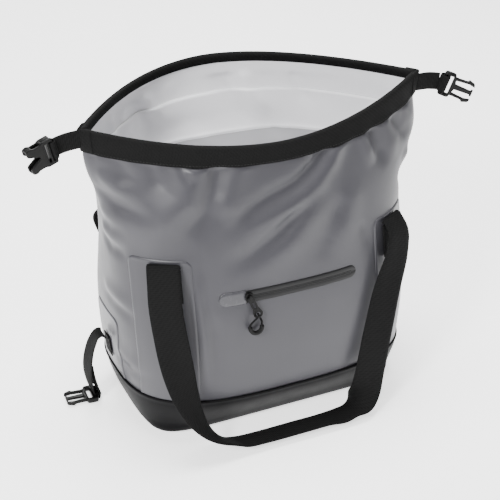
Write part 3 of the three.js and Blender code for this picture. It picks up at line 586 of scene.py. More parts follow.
def catmull(points, count):
    """An even-speed smooth line through points of any width, as a table of count rows."""
    points = np.asarray(points, float)
    padded = np.vstack([2 * points[0] - points[1], points, 2 * points[-1] - points[-2]])
    steps = np.sqrt(np.linalg.norm(np.diff(padded[:, :3], axis=0), axis=1))
    knots = np.concatenate([[0], np.cumsum(np.maximum(steps, 1e-6))])
    result = []
    for u in np.linspace(knots[1], knots[-2] - 1e-9, count * 4):
        k = int(np.clip(np.searchsorted(knots, u, side="right") - 1, 1, len(points) - 1))
        p0, p1, p2, p3 = padded[k - 1 : k + 3]
        t0, t1, t2, t3 = knots[k - 1 : k + 3]
        a1 = (t1 - u) / (t1 - t0) * p0 + (u - t0) / (t1 - t0) * p1
        a2 = (t2 - u) / (t2 - t1) * p1 + (u - t1) / (t2 - t1) * p2
        a3 = (t3 - u) / (t3 - t2) * p2 + (u - t2) / (t3 - t2) * p3
        b1 = (t2 - u) / (t2 - t0) * a1 + (u - t0) / (t2 - t0) * a2
        b2 = (t3 - u) / (t3 - t1) * a2 + (u - t1) / (t3 - t1) * a3
        result.append((t2 - u) / (t2 - t1) * b1 + (u - t1) / (t2 - t1) * b2)
    result = np.array(result)
    along = run_length(result[:, :3])
    even = np.linspace(0, along[-1], count)
    return np.stack([np.interp(even, along, column) for column in result.T], 1), along[-1]


# Share of the half width, and the strap's half thickness there as a share of depth: its edges are
# rounded and a little thicker than its middle
WEBBING_SWELL = ((-1, 0.35), (-0.8, 1.08), (-0.4, 0.94), (0, 0.94), (0.4, 0.94), (0.8, 1.08), (1, 0.35))


def webbing(name, stops, width, thick, count):
    """A woven strap through stops, each a place and the direction of the strap's width there."""
    table, length = catmull([[*at, *across] for at, across in stops], count)
    centre, across = table[:, :3], table[:, 3:]
    tangent = np.gradient(centre, axis=0)
    tangent /= np.linalg.norm(tangent, axis=1)[:, None]
    side = across - (across * tangent).sum(1)[:, None] * tangent
    side /= np.linalg.norm(side, axis=1)[:, None]
    face = np.cross(side, tangent)
    profile = [(u * width / 2, thick / 2 * swell) for u, swell in WEBBING_SWELL]
    profile += [(u, -h) for u, h in profile[::-1]]
    rings, uv = [], []
    for i in range(count):
        rings.append([centre[i] + side[i] * u + face[i] * h for u, h in profile])
        uv.append([(u * MM, length * i / (count - 1) * MM) for u, _ in profile])
    return tube_mesh(name, rings, WEBBED, uv)


def outline_plate(name, outlines, thick, edge, material, matrix, middle=0.0):
    """A flat moulded plate from closed outlines (the first is its edge, the others are holes) in
    local mm, with rounded edges, its middle plane this far up the local Z axis."""
    curve = bpy.data.curves.new(name, "CURVE")
    curve.dimensions = "2D"
    curve.fill_mode = "BOTH"
    curve.extrude = (thick / 2 - edge) * MM
    curve.bevel_depth = edge * MM
    curve.bevel_resolution = 2
    curve.offset = -edge * MM
    for outline in outlines:
        spline = curve.splines.new("POLY")
        spline.points.add(len(outline) - 1)
        for point, (x, y) in zip(spline.points, outline):
            point.co = (x * MM, y * MM, 0, 1)
        spline.use_cyclic_u = True
    source = add_object(name + "_outline", curve)
    depsgraph = bpy.context.evaluated_depsgraph_get()
    mesh = bpy.data.meshes.new_from_object(source.evaluated_get(depsgraph))
    bpy.data.objects.remove(source)
    bpy.data.curves.remove(curve)
    mesh.name = name
    mesh.transform(Matrix.Translation((0, 0, middle * MM)))
    mesh.transform(matrix)
    mesh.materials.clear()
    mesh.materials.append(material)
    return add_object(name, mesh)


def rounded(points, radius, steps=4):
    """A closed outline with its corners rounded."""
    points = [Vector(p) for p in points]
    result = []
    for i, corner in enumerate(points):
        before, after = points[i - 1], points[(i + 1) % len(points)]
        reach = min(radius, (before - corner).length / 2.1, (after - corner).length / 2.1)
        start = corner + (before - corner).normalized() * reach
        end = corner + (after - corner).normalized() * reach
        for k in range(steps + 1):
            t = k / steps
            result.append(tuple(start * (1 - t) ** 2 + corner * 2 * t * (1 - t) + end * t * t))
    return result


def box_outline(x0, x1, y0, y1):
    return [(x0, y0), (x1, y0), (x1, y1), (x0, y1)]


def both_sides(points):
    """Points followed by their mirror images across the X axis, in reverse order."""
    return points + [(x, -y) for x, y in points[::-1]]


def joined(name, pieces):
    """Several mesh objects as one."""
    first = pieces[0]
    with bpy.context.temp_override(
        active_object=first, object=first, selected_objects=pieces, selected_editable_objects=pieces
    ):
        bpy.ops.object.join()
    first.name = name
    first.data.name = name
    return first


def local(origin, x_axis, y_axis, z_axis):
    """The matrix of a part's own frame, from its origin in mm and its axes."""
    frame_matrix = Matrix((x_axis, y_axis, z_axis)).transposed().to_4x4()
    return Matrix.Translation(Vector(origin) * MM) @ frame_matrix


# ---------------------------------------------------------------- the zip pull's cord
SLIDER = local(
    (-55, -117.671, 190), (0.9964, -0.0849, 0), (0.0118, 0.1381, 0.9903), (-0.0841, -0.9868, 0.1386)
)
CORD_RADIUS = 0.0012
# From the grip, through the tab's hole and back to the grip, in the slider's frame, in mm
CORD_ROUTE = [
    (-2.2, -34.2, 6.8), (-1.9, -32.4, 7.1), (-0.6, -30, 8.4), (1.6, -27.2, 9.8), (4, -24.4, 10.9),
    (6.1, -22.2, 11.4), (7.6, -20.9, 10.4), (8.1, -20.7, 7.8), (8.5, -21.1, 5.2), (9.2, -22.8, 4.1),
    (10.6, -26, 3.9), (11.8, -29, 4.4), (12.3, -31.2, 5.5), (12, -33, 6.5), (11.8, -34.2, 6.8),
]


def make_cord():
    route, length = catmull(CORD_ROUTE, 61)
    points = [SLIDER @ (Vector(p) * MM) for p in route]
    curve = bpy.data.curves.new("pull_cord_line", "CURVE")
    curve.dimensions = "3D"
    curve.bevel_depth = CORD_RADIUS
    curve.bevel_resolution = 4
    curve.use_fill_caps = True
    spline = curve.splines.new("POLY")
    spline.points.add(len(points) - 1)
    for target, point in zip(spline.points, points):
        target.co = (*point, 1)
    curve.materials.append(CORDED)
    made = add_object("pull_cord_braid", curve)
    finish_piece(made, "pull_loop", "cord_black", "pull_cord")


make_cord()


# ---------------------------------------------------------------- body, boot and lining
def profile_band(name, profile, material, m0=0.0, m1=LOOP, columns=321, fold=1.0):
    """A closed skin round the bag, or part of the way round, from a closed profile of heights and
    offsets. Fold is how much of the cloth's folds it follows."""
    whole = m1 - m0 >= LOOP
    places = np.linspace(m0, m1, columns)[: columns - 1 if whole else columns]
    rows = np.array(profile, float)
    rings = skin(places[:, None], rows[None, :, 0], rows[None, :, 1], fold)
    round_way = places / LOOP * 0.98
    up = np.concatenate([[0], np.cumsum(np.hypot(*np.diff(rows, axis=0).T))]) * MM
    uv = np.stack(np.broadcast_arrays(up[None, :] + 0 * round_way[:, None], round_way[:, None]), -1)
    return tube_mesh(name, rings, material, uv, closed=whole, flip=True)


def spaced(low, high, step):
    """Even values from low to high, about this far apart."""
    return np.linspace(low, high, max(2, int(round(abs(high - low) / step)) + 1)).tolist()


def scaled_ring(ring, scale, z):
    """A copy of a ring, drawn in towards the bag's middle, at this height."""
    made = ring.copy()
    made[:, :2] *= scale
    made[:, 2] = z
    return made


def loop_places(count):
    return np.linspace(0, LOOP, count + 1)[:-1]


outer = [(z, 0.0) for z in spaced(6, 385.6, 2.6)]
inner = [(z, -0.9) for z in spaced(385.6, 6, 7)]
shell = profile_band("shell_cloth", outer + inner, COATED, columns=401)
finish_piece(shell, "bag", "coated_grey", "outer_shell")


def boot_rows():
    """Height, offset and scale of each ring, from the middle of the underside to the middle inside."""
    rows = [(0.02, -1.6, s) for s in (0.02, 0.35, 0.6, 0.8, 0.93)]
    rows += [(0.05, -1.6, 1), (0.5, 0.4, 1), (1.6, 1.6, 1), (3.4, 2.2, 1)]
    rows += [(z, 2.4, 1) for z in spaced(6, 52, 3.2)]
    lip = ((55.6, 2.3), (56.6, 2.6), (58.2, 2.9), (59.6, 2.6), (60.2, 1.9), (60.2, 0.5))
    rows += [(z, offset, 1) for z, offset in lip]
    rows += [(z, 0.4, 1) for z in spaced(58, 4, 6)]
    return rows + [(2.2, 0, s) for s in (0.93, 0.8, 0.6, 0.35, 0.02)]


def make_boot():
    places = loop_places(320)
    rings = [scaled_ring(skin(places, z, offset), scale, z) for z, offset, scale in boot_rows()]
    made = tube_mesh("boot_moulded", rings, BOOTED)
    return finish_piece(made, "bag", "boot_charcoal", "base_boot")


make_boot()


def lining_depth(z):
    """Offset of the lining from the cloth: deep behind the foam, shallow above it."""
    return -3.8 - 8.2 * (1 - 0.86 * smooth_step(z, 236, 312))


def lining_skin(m, z, offset=0.0):
    """Points on the lining, with its own soft creases."""
    m, z = np.broadcast_arrays(np.asarray(m, float), np.asarray(z, float))
    crease = 1.3 * soft_noise(np.sin(m / LOOP * 2 * np.pi) * 200, z, 21, 22, 30)
    crease = crease + 0.9 * soft_noise(np.cos(m / LOOP * 2 * np.pi) * 200, z, 22, 14, 44)
    crease *= smooth_step(z, 40, 150) * (1 - smooth_step(z, 296, 330))
    bead = 1.1 * np.exp(-(((z - 286) / 1.6) ** 2))
    depth = lining_depth(z) + np.minimum(crease, 1.2) * 1.4 - 1.0 - bead
    return skin(m, z, depth + offset, 0.55 + 0.45 * smooth_step(z, 250, 320))


# Scale and height of the rings of the lining's floor, below and above
UNDER_LINING = (
    (0.02, 19.9), (0.35, 19.9), (0.6, 19.9), (0.8, 20.0), (0.925, 20.6), (0.965, 22.6), (0.99, 27),
)
LINING_FLOOR = ((0.98, 27), (0.955, 23.6), (0.915, 22), (0.8, 21.5), (0.6, 21.2), (0.35, 21), (0.02, 21))


def make_lining():
    places = loop_places(288)
    foot = lining_skin(places, 34)
    inside = spaced(340, 292, 4.5) + [289, 287.6, 286, 284.4, 283] + spaced(280, 34, 4.5)
    rings = [scaled_ring(foot, scale, z) for scale, z in UNDER_LINING]
    rings += [lining_skin(places, z) for z in spaced(34, 340, 9)]
    rings += [lining_skin(places, z, -0.8) for z in inside]
    rings += [scaled_ring(foot, scale, z) for scale, z in LINING_FLOOR]
    made = tube_mesh("lining_bag", rings, LINING)
    # Faces below the weld get the darker grey lining, which is painted shade deep inside the bag.
    made.data.materials.append(LINING_PAINTED_SHADE)
    for face in made.data.polygons:
        painted_shade_below_weld = face.center.z < 0.2835 - 0.00007 * abs(face.center.y)
        face.material_index = 1 if painted_shade_below_weld else 0
    return finish_piece(made, "bag", "lining_white", "inner_liner")


make_lining()
collar = profile_band(
    "lining_collar",
    [(z, -3.6) for z in spaced(322, 385.4, 3)] + [(z, -4.5) for z in spaced(385.4, 322, 3)],
    LINING,
)
finish_piece(collar, "bag", "lining_white", "collar_lining")
weld = profile_band(
    "lining_weld_bead",
    [(322, -4.5), (340, -4.5), (340.6, -5.0), (339.6, -5.9), (331, -6.2), (322.4, -5.9), (321.4, -5.2)],
    WELDED,
)
finish_piece(weld, "bag", "lining_white", "liner_weld_band")

# Insulation between the cloth and the lining
for side, first, last in (("front", 27, 153), ("right", 153, 207), ("back", 207, 333), ("left", 333, 387)):
    heights = spaced(20, 296, 12)
    thick = 5.6 * (1 - 0.75 * smooth_step(np.array(heights), 236, 296))
    outward = [(z, -3.0) for z in heights]
    inward = [(z, -3.0 - t * 1.0) for z, t in zip(heights[::-1], thick[::-1])]
    panel = profile_band(
        f"foam_pad_{side}", outward + inward, FOAMED, first + 0.4, last - 0.4, 61, 0.55
    )
    finish_piece(panel, "bag", "foam", f"foam_{side}")


def make_base_pad():
    rim = skin(loop_places(120), 14, -6)
    levels = ((0.1, 8.4), (0.6, 8.4), (0.95, 8.6), (0.985, 9.6), (1, 12), (0.985, 15.8), (0.95, 17.2),
              (0.6, 17.6), (0.1, 17.6))
    rings = [scaled_ring(rim, scale, z) for scale, z in levels]
    made = tube_mesh("foam_pad_base", rings, FOAMED)
    finish_piece(made, "bag", "foam", "foam_base")


make_base_pad()
pocket = profile_band(
    "pocket_cloth",
    [(z, -1.4) for z in spaced(112, 203, 8)] + [(z, -2.4) for z in spaced(203, 112, 8)],
    LINING, float(place(-80, 160)), float(place(100, 160)), 41,
)
finish_piece(pocket, "bag", "lining_white", "pocket_bag")

# ---------------------------------------------------------------- binding round the mouth
BINDING = [
    (361.2, 0.4), (361.0, 1.5), (361.8, 2.2), (364, 2.1), (368, 2.0), (373, 2.0), (378, 2.0), (382, 2.1),
    (385, 1.9), (386.8, 1.0), (387.6, -0.6), (387.7, -2.4), (387.2, -4.2), (385.6, -5.6), (382, -6.2),
    (378, -6.2), (376.6, -6.0), (376.2, -5.2), (377, -4.9), (382, -4.9), (385, -4.6), (386.2, -3.2),
    (386.3, -1.6), (385.9, 0.2), (382, 0.5), (376, 0.5), (368, 0.5),
]
for half, first, last in (("front", 0.35, 179.65), ("back", 180.35, 359.65)):
    tape = profile_band(f"mouth_binding_{half}", BINDING, BOUND, first, last, 241)
    finish_piece(tape, "bag", "webbing_black", f"rim_tape_{half}", f"rim_hem_{half}")
    strip = profile_band(
        f"mouth_stay_{half}",
        [(366, -1.9), (384, -1.9), (384, -2.5), (366, -2.5)], BOARDED, first + 2, last - 2, 121,
    )
    finish_piece(strip, "bag", "board", f"rim_stiffener_{half}")


for side, first, last in (("left", -5, 5), ("right", 175, 185)):
    wrap = profile_band(
        f"mouth_tip_wrap_{side}",
        [(361.4, 1.0), (361.2, 2.6), (362, 3.1), (370, 3.0), (380, 3.0), (386, 3.0), (388, 2.0), (388.4, 0.4),
         (387.6, -0.8), (386.6, 0.6), (378, 1.0), (368, 1.0)],
        BOUND, first, last, 41,
    )
    finish_piece(wrap, "bag", "webbing_black")


THREAD_LENGTH, THREAD_PITCH, THREAD_WIDTH = 2.6, 3.6, 0.5
THREAD_SIDES = 6


def stitches(name, height, offset, first, last):
    """A row of short raised threads round the mouth."""
    around = spaced(first, last, 0.9)
    path = skin(around, height, offset)
    along = run_length(path)
    points, faces = [], []
    for start in np.arange(2, along[-1] - 3, THREAD_PITCH):
        base = len(points)
        for t, swell in ((0, 0.25), (0.25, 1), (0.75, 1), (1, 0.25)):
            m = np.interp(start + t * THREAD_LENGTH, along, around)
            at = skin(m, height, offset)
            normal = np.array([*wall_normal(m, height), 0.0])
            for k in range(THREAD_SIDES):
                angle = k / THREAD_SIDES * 2 * np.pi
                off = normal * math.cos(angle) * THREAD_WIDTH * 0.5 * swell
                points.append(at + off + np.array([0, 0, math.sin(angle) * THREAD_WIDTH * 0.8 * swell]))
        for r in range(3):
            for k in range(THREAD_SIDES):
                a = base + r * THREAD_SIDES + k
                b = base + r * THREAD_SIDES + (k + 1) % THREAD_SIDES
                faces.append((a, a + THREAD_SIDES, b + THREAD_SIDES, b))
        faces.append(tuple(base + k for k in range(THREAD_SIDES)))
        faces.append(tuple(base + 3 * THREAD_SIDES + k for k in range(THREAD_SIDES - 1, -1, -1)))
    return mesh_object(name, points, faces, THREADED)


for half, first, last in (("front", 2, 178), ("back", 182, 358)):
    row = stitches(f"mouth_stitches_{half}", 363.6, 2.25, first, last)
    finish_piece(row, "bag", "webbing_black")


# ---------------------------------------------------------------- welded patches
PATCH_FOOT = 60.7
PATCH_CORNER = 10
PATCH_AT = 155
HANDLE_PATCH = (38, 242.5)  # half width and top
SIDE_PATCH = (36, 146)


def welded_patch(name, m_of, half, top):
    """A round-cornered patch welded onto the body. m_of(s, z) is the loop place this far from its
    middle line at a height."""
    columns, rows = 33, 61
    u = np.sin(np.linspace(-1, 1, columns) * np.pi / 2)
    v = smooth_step(np.linspace(0, 1, rows), 0, 1)
    across = u * half
    past = np.maximum(np.abs(across) - (half - PATCH_CORNER), 0)
    edge = top - PATCH_CORNER + np.sqrt(np.maximum(PATCH_CORNER**2 - past**2, 0))
    z = PATCH_FOOT + (edge[None, :] - PATCH_FOOT) * v[:, None]
    s = np.broadcast_to(across[None, :], z.shape)
    side_gap = half - np.abs(s)
    lid_gap = np.minimum(side_gap, edge[None, :] - z)
    raise_edge = np.clip(lid_gap / 1.6, 0, 1) ** 0.5
    bead = 0.28 * np.exp(-(((lid_gap - 2.6) / 1.5) ** 2))
    m = m_of(s, z)
    top_face = skin(m, z, 0.22 + 0.8 * raise_edge + bead)
    bottom_face = skin(m, z, 0.12 + 0 * z)
    count = rows * columns
    points = np.concatenate([top_face.reshape(-1, 3), bottom_face.reshape(-1, 3)])
    faces = grid_faces(rows, columns)
    faces += [tuple(k + count for k in face[::-1]) for face in grid_faces(rows, columns)]
    border = [(0, c) for c in range(columns)] + [(r, columns - 1) for r in range(1, rows)]
    border += [(rows - 1, c) for c in range(columns - 2, -1, -1)] + [(r, 0) for r in range(rows - 2, 0, -1)]
    index = [r * columns + c for r, c in border]
    for a, b in zip(index, index[1:] + index[:1]):
        faces.append((b, a, a + count, b + count))
    return mesh_object(name, points, faces, PATCHED)


for facing in ("front", "back"):
    for side, sign in (("left", -1), ("right", 1)):
        def handle_place(s, z, sign=sign, facing=facing):
            return place(sign * PATCH_AT + s, z, facing == "front")

        piece = welded_patch(f"patch_{facing}_{side}", handle_place, *HANDLE_PATCH)
        finish_piece(piece, "bag", "coated_grey", f"handle_patch_{facing}_{side}")
for side, loop_end in (("left", 0), ("right", HALF)):
    def side_place(s, z, loop_end=loop_end):
        front_length, back_length = half_lengths(z)
        toward_back = 3 - s if loop_end == 0 else 3 + s
        share = np.where(toward_back > 0, HALF / back_length, HALF / front_length)
        return loop_end + (-1 if loop_end == 0 else 1) * toward_back * share

    piece = welded_patch(f"patch_side_{side}", side_place, *SIDE_PATCH)
    finish_piece(piece, "bag", "coated_grey", f"side_patch_{side}")


# ---------------------------------------------------------------- carry handles
HANDLE_WIDTH, HANDLE_THICK = 38, 2.3
HANDLE_AT = 148
BACK_SHIFT = 9  # how far behind the half turn of the front handle the back one lies
# Height and offset of the stops from the sewn end over the fold at the top of a patch
FOLD_OVER = ((232.5, 2.6), (237.2, 3.0), (238.6, 4.2), (236.4, 5.5))


def wall_stop(s, z, offset, front=True, sign=1):
    """A webbing stop on the body's wall, its width level and along the wall."""
    m = place(s, z, front)
    nx, ny = wall_normal(m, z)
    return tuple(skin(m, z, offset)), (-ny * sign, nx * sign, 0.0)


def sewn_end(s, front, sign):
    return [wall_stop(s, z, offset, front, sign) for z, offset in FOLD_OVER]


# The front handle's legs from the top down: x, y, z, the heading of the width in degrees and its tilt
LEFT_LEG = [
    (-150, -101, 219, -29, 0), (-153, -111, 196, -27, 0), (-152, -122, 160, -22, 0),
    (-148, -130, 122, 0, 0), (-141, -135, 88, 24, 0), (-129, -138, 56, 47, -0.08),
    (-112, -140, 30, 68, -0.3), (-94, -141, 15, 84, -0.4), (-76, -140.5, 8, 90, -0.26),
    (-54, -140, 6.0, 90, -0.24), (0, -140, 5.8, 90, -0.23), (32, -140, 5.8, 90, -0.23),
]
RIGHT_LEG = [
    (149, -101, 219, 27, 0), (142, -111, 196, 18, 0), (124, -122, 158, 4, 0), (110, -131, 116, -3, 0),
    (101, -136, 82, -6, 0), (95, -138, 52, -10, 0), (89, -138.5, 28, -26, 0.1), (77, -139, 11.5, -62, 0.3),
    (58, -140, 5.6, -88, 0.14),
]


def leg_stops(rows, sign):
    stops = []
    for x, y, z, heading, tip in rows:
        angle = math.radians(heading)
        across = (sign * math.cos(angle), sign * math.sin(angle), sign * tip)
        stops.append(((x, y, z), across))
    return stops


def handle_stops():
    floor_way = leg_stops(LEFT_LEG, 1) + leg_stops(RIGHT_LEG, -1)[::-1]
    return sewn_end(-HANDLE_AT, True, 1) + floor_way + sewn_end(HANDLE_AT, True, -1)[::-1]


def bend_piece(piece, body):
    """Hides the CAD strap named body, and bakes the strap's placement into its mesh."""
    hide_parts(body)
    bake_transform(piece)


def turned_stops(stops):
    """The back handle: the front one turned half round, its ends on the back wall."""
    ends = len(FOLD_OVER)
    turned = [((-x, -(y - BACK_SHIFT), z), (-ax, -ay, az)) for (x, y, z), (ax, ay, az) in stops[ends:-ends]]
    return sewn_end(HANDLE_AT, False, 1) + turned + sewn_end(-HANDLE_AT, False, -1)[::-1]


front_stops = handle_stops()
for facing, handle_way in (("front", front_stops), ("back", turned_stops(front_stops))):
    handle = webbing(f"handle_webbing_{facing}", handle_way, HANDLE_WIDTH, HANDLE_THICK, 260)
    bend_piece(handle, f"handle_{facing}")
for facing in ("front", "back"):
    for side, sign in (("left", -1), ("right", 1)):
        stops = [wall_stop(sign * HANDLE_AT, z, 2.7, facing == "front") for z in (190, 200, 212, 222, 230)]
        tab = webbing(f"handle_root_{facing}_{side}", stops, HANDLE_WIDTH, 2.2, 24)
        finish_piece(tab, "bag", "webbing_black", f"handle_tab_{facing}_{side}")

# ---------------------------------------------------------------- side straps and mouth straps
SIDE_WIDTH, SIDE_THICK = 21, 1.5
PLY_WIDTH, PLY_THICK = 20.5, 1.4
MOUTH_WIDTH, MOUTH_THICK = 21.5, 3.0
LOOP_THICK = 1.3
# x, y, z and how far the strap's width is turned from Y towards X
SIDE_ROUTES = {
    "left": [
        (-193.6, 3, 106.5, 0), (-196, 3.2, 109.6, 0), (-200.6, 5.6, 107.4, 0), (-206.6, 12, 92, -0.12),
        (-210.4, 20, 66, -0.26), (-210, 28, 40, -0.26), (-206.6, 33, 18, -0.1), (-204.2, 34, 9, 0),
        (-202, 34.2, 5.4, 0),
    ],
    "right": [
        (193.6, 3, 106.5, 0), (196.6, 4.6, 109.6, 0), (202, 12, 104, 0.05), (206.4, 32, 84, 0.2),
        (207, 58, 57, 0.5), (206, 78, 33, 0.8), (204.5, 90, 19, 1), (204, 92.6, 12.6, 1),
        (204, 94.6, 8, 1),
    ],
}
for side, rows in SIDE_ROUTES.items():
    stops = []
    for x, y, z, twist in rows:
        size = math.hypot(twist, 1 - twist)
        stops.append(((x, y, z), (twist / size, (1 - twist) / size, 0)))
    strap = webbing(f"side_webbing_{side}", stops, SIDE_WIDTH, SIDE_THICK, 90)
    bend_piece(strap, f"side_strap_{side}")
    loop_end = 0 if side == "left" else HALF
    stops = []
    for z in (80, 88, 97, 106):
        m = loop_end + (-1 if loop_end == 0 else 1) * 3 * HALF / 400
        nx, ny = wall_normal(m, z)
        stops.append((tuple(skin(m, z, 2.4)), (-ny, nx, 0)))
    tab = webbing(f"side_root_{side}", stops, SIDE_WIDTH, SIDE_THICK, 16)
    finish_piece(tab, "bag", "webbing_black", f"side_tab_{side}")

# The left strap's end, turned back up behind it: place, and the direction of its width
PLY_STOPS = [
    ((-209.6, 22, 60), (-0.26, 1, 0)), ((-207.4, 25.6, 44), (-0.26, 1, 0)),
    ((-202.6, 30.4, 24), (-0.2, 1, 0)), ((-198.4, 33, 12.6), (-0.1, 1, 0)),
    ((-196.6, 33.8, 8.4), (0, 1, 0)),
]
ply = webbing("side_webbing_left_ply", PLY_STOPS, PLY_WIDTH, PLY_THICK, 40)
finish_piece(ply, "side_strap_left", "webbing_black")

MOUTH_ROUTES = {
    "left": [
        (-208.5, -22, 375.8), (-214, -22, 375.5), (-226, -22, 374.5), (-236.4, -22.6, 372.6),
        (-238.8, -23.1, 372),
    ],
    "right": [
        (208.5, -22, 372.2), (214, -22, 371.9), (226, -22.4, 371.6), (236.4, -25, 370.4),
        (238.8, -26.2, 370),
    ],
}
for side, rows in MOUTH_ROUTES.items():
    stops = [(row, (0, 0, 1)) for row in rows]
    strap = webbing(f"mouth_webbing_{side}", stops, MOUTH_WIDTH, MOUTH_THICK, 40)
    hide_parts(f"mouth_strap_{side}")
    sign = -1 if side == "left" else 1
    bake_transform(strap)


# ---------------------------------------------------------------- side-release buckles
MOUTH_SOCKET = local((-241.6, -24, 371.4), (-0.9372, -0.2511, -0.2419), (-0.2337, -0.0626, 0.9703),
                     (-0.2588, 0.9659, 0))
MOUTH_PLUG = local((241.8, -28, 369.6), (0.7745, -0.5423, -0.3256), (0.2667, -0.1867, 0.9455),
                   (-0.5736, -0.8192, 0))
SIDE_PLUG = local((-199.5, 34, 4), (-0.9982, 0.0599, 0), (0.0599, 0.9982, 0), (0, 0, -1))
SIDE_SOCKET = local((204, 88.5, 5.7), (0, 1, 0), (1, 0, 0), (0, 0, -1))


def slots():
    return [rounded(box_outline(2.6, 5.2, -11.5, 11.5), 1), rounded(box_outline(7.6, 10.2, -11.5, 11.5), 1)]


def socket_half(name, matrix):
    lobe = [(0, -15.5), (13, -15.5), (15.5, -13.8), (24.5, -13.8), (27, -15.5), (33, -14.6), (33.4, -7.2)]
    notch = [(17.5, 0)]
    outline = rounded(lobe + notch + both_sides(lobe)[len(lobe):], 2.6)
    frame_outline = rounded(box_outline(0.3, 13, -15.2, 15.2), 2.4)
    parts = []
    for middle in (-4.1, 4.1):
        parts.append(outline_plate(name + "_lid", [outline, *slots()], 2.8, 0.9, MOULDED, matrix, middle))
    parts.append(outline_plate(name + "_frame", [frame_outline, *slots()], 6.4, 0.3, MOULDED, matrix))
    for sign in (-1, 1):
        for x0, x1, y0, y1 in ((12, 15.6, 12.1, 15.2), (24.8, 32.6, 12.3, 14.5)):
            ys = (sign * y0, sign * y1)
            rail = rounded(box_outline(x0, x1, min(ys), max(ys)), 0.8)
            parts.append(outline_plate(name + "_rail", [rail], 6.4, 0.3, MOULDED, matrix))
    # A raised ridge on each face, beside the slots
    for middle in (-5.4, 5.4):
        ridge_line = rounded(box_outline(12.2, 13.6, -11, 11), 0.6)
        parts.append(outline_plate(name + "_ridge", [ridge_line], 0.7, 0.3, MOULDED, matrix, middle))
    return joined(name, parts)


def plug_half(name, matrix):
    outline = rounded(box_outline(0, 14.6, -15.5, 15.5), 3.6)
    windows = [
        rounded(box_outline(2.6, 5.0, -11.8, 11.8), 1),
        rounded(box_outline(7, 12.2, -11.8, 11.8), 1.4),
    ]
    root = rounded(both_sides([(13.4, -12.4), (16, -11.6), (16.2, -6.6), (17.4, -4)]), 1.4)
    guide = rounded(both_sides([(14, -3.4), (36.8, -2.3), (37, -4.3), (39.4, -4.2)]), 0.8)
    return joined(name, [
        outline_plate(name + "_bar", [outline, *windows], 7.4, 1.5, MOULDED, matrix),
        outline_plate(name + "_root", [root], 5.2, 0.8, MOULDED, matrix),
        outline_plate(name + "_guide", [guide], 3.4, 0.7, MOULDED, matrix),
    ])


def plug_arm(name, matrix, sign):
    points = [
        (13.6, 8.0), (32, 9.8), (40, 8.1), (38.7, 11.9), (31, 14.8), (29.4, 12.3), (19, 11.8), (13.6, 12),
    ]
    outline = rounded([(x, sign * y) for x, y in points], 1.2)
    return outline_plate(name, [outline], 4.4, 0.8, MOULDED, matrix)


def strap_loop(name, matrix, lifts, far, width, body):
    """The end of a strap round the bar of its buckle half. lifts are its heights above and below the
    buckle's middle plane, and far is where it turns back."""
    route = []
    for sign, lift in zip((1, -1), lifts):
        turn = [(-3.4, 0.9), (-1.6, lift - 1.2), (0.6, lift)]
        turn += [(far - 1.8, lift), (far - 0.4, lift - 1.2), (far, lift - 3)]
        route += [(x, sign * z) for x, z in turn[::sign]]
    stops = [((x, 0, z), (0, 1, 0)) for x, z in route]
    made = webbing(name, stops, width, LOOP_THICK, 60)
    made.data.transform(matrix)
    return finish_piece(made, body, "webbing_black")


strap_loop("mouth_loop_left", MOUTH_SOCKET, (6.4, 6.4), 3.9, 21, "mouth_buckle_left")
strap_loop("mouth_loop_right", MOUTH_PLUG, (4.6, 4.6), 7.9, 21, "mouth_buckle_right")
strap_loop("side_loop_left", SIDE_PLUG, (3.1, 4.6), 4.0, 20.5, "side_buckle_left")
strap_loop("side_loop_right", SIDE_SOCKET, (4.9, 6.3), 3.9, 20.5, "side_buckle_right")
HALVES = (
    (socket_half, "mouth_socket", MOUTH_SOCKET, "mouth_buckle_left", "socket"),
    (plug_half, "mouth_plug", MOUTH_PLUG, "mouth_buckle_right", "plug"),
    (plug_half, "side_plug", SIDE_PLUG, "side_buckle_left", "plug"),
    (socket_half, "side_socket", SIDE_SOCKET, "side_buckle_right", "socket"),
)
for make_half, name, matrix, body, kind in HALVES:
    finish_piece(make_half(name, matrix), body, "plastic_black", f"{body}_{kind}")
ARMS = (
    ("mouth_plug", MOUTH_PLUG, "mouth_buckle_right_plug"),
    ("side_plug", SIDE_PLUG, "side_buckle_left_plug"),
)
for stem, matrix, node in ARMS:
    for letter, sign in (("a", 1), ("b", -1)):
        arm = plug_arm(f"{stem}_arm_moulded_{letter}", matrix, sign)
        finish_piece(arm, f"{stem}_arm_{letter}", "plastic_black", f"{node}_arm_{letter}")

# ---------------------------------------------------------------- zip, slider and pull
ZIP_HEIGHT = 190.0


def wall_strip(name, s0, s1, half, offsets, material, rounded_end=0, columns=121):
    """A strip along the front wall: offsets are (share of its half height, offset). rounded_end is 1
    for a round right end, -1 for a round left end and 0 for none."""
    s = np.linspace(s0, s1, columns)
    rings = []
    for at in s:
        reach = half
        if rounded_end:
            end_gap = (s1 - at) if rounded_end > 0 else (at - s0)
            curve = min(end_gap, half) / half
            reach = half * math.sqrt(max(1 - (1 - curve) ** 2, 0.02))
        z = ZIP_HEIGHT + np.array([share for share, _ in offsets]) * reach
        off = np.array([off for _, off in offsets])
        rings.append(skin(place(at, z), z, off))
    uv = [[(share * half * MM, at * MM) for share, _ in offsets] for at in s]
    return tube_mesh(name, rings, material, uv, flip=True)


def section(half, middle=(), under=()):
    """A strip's section: (share of its half height, offset) up to its middle, then mirrored."""
    return [*half, *middle, *((-share, offset) for share, offset in half[::-1]), *under]


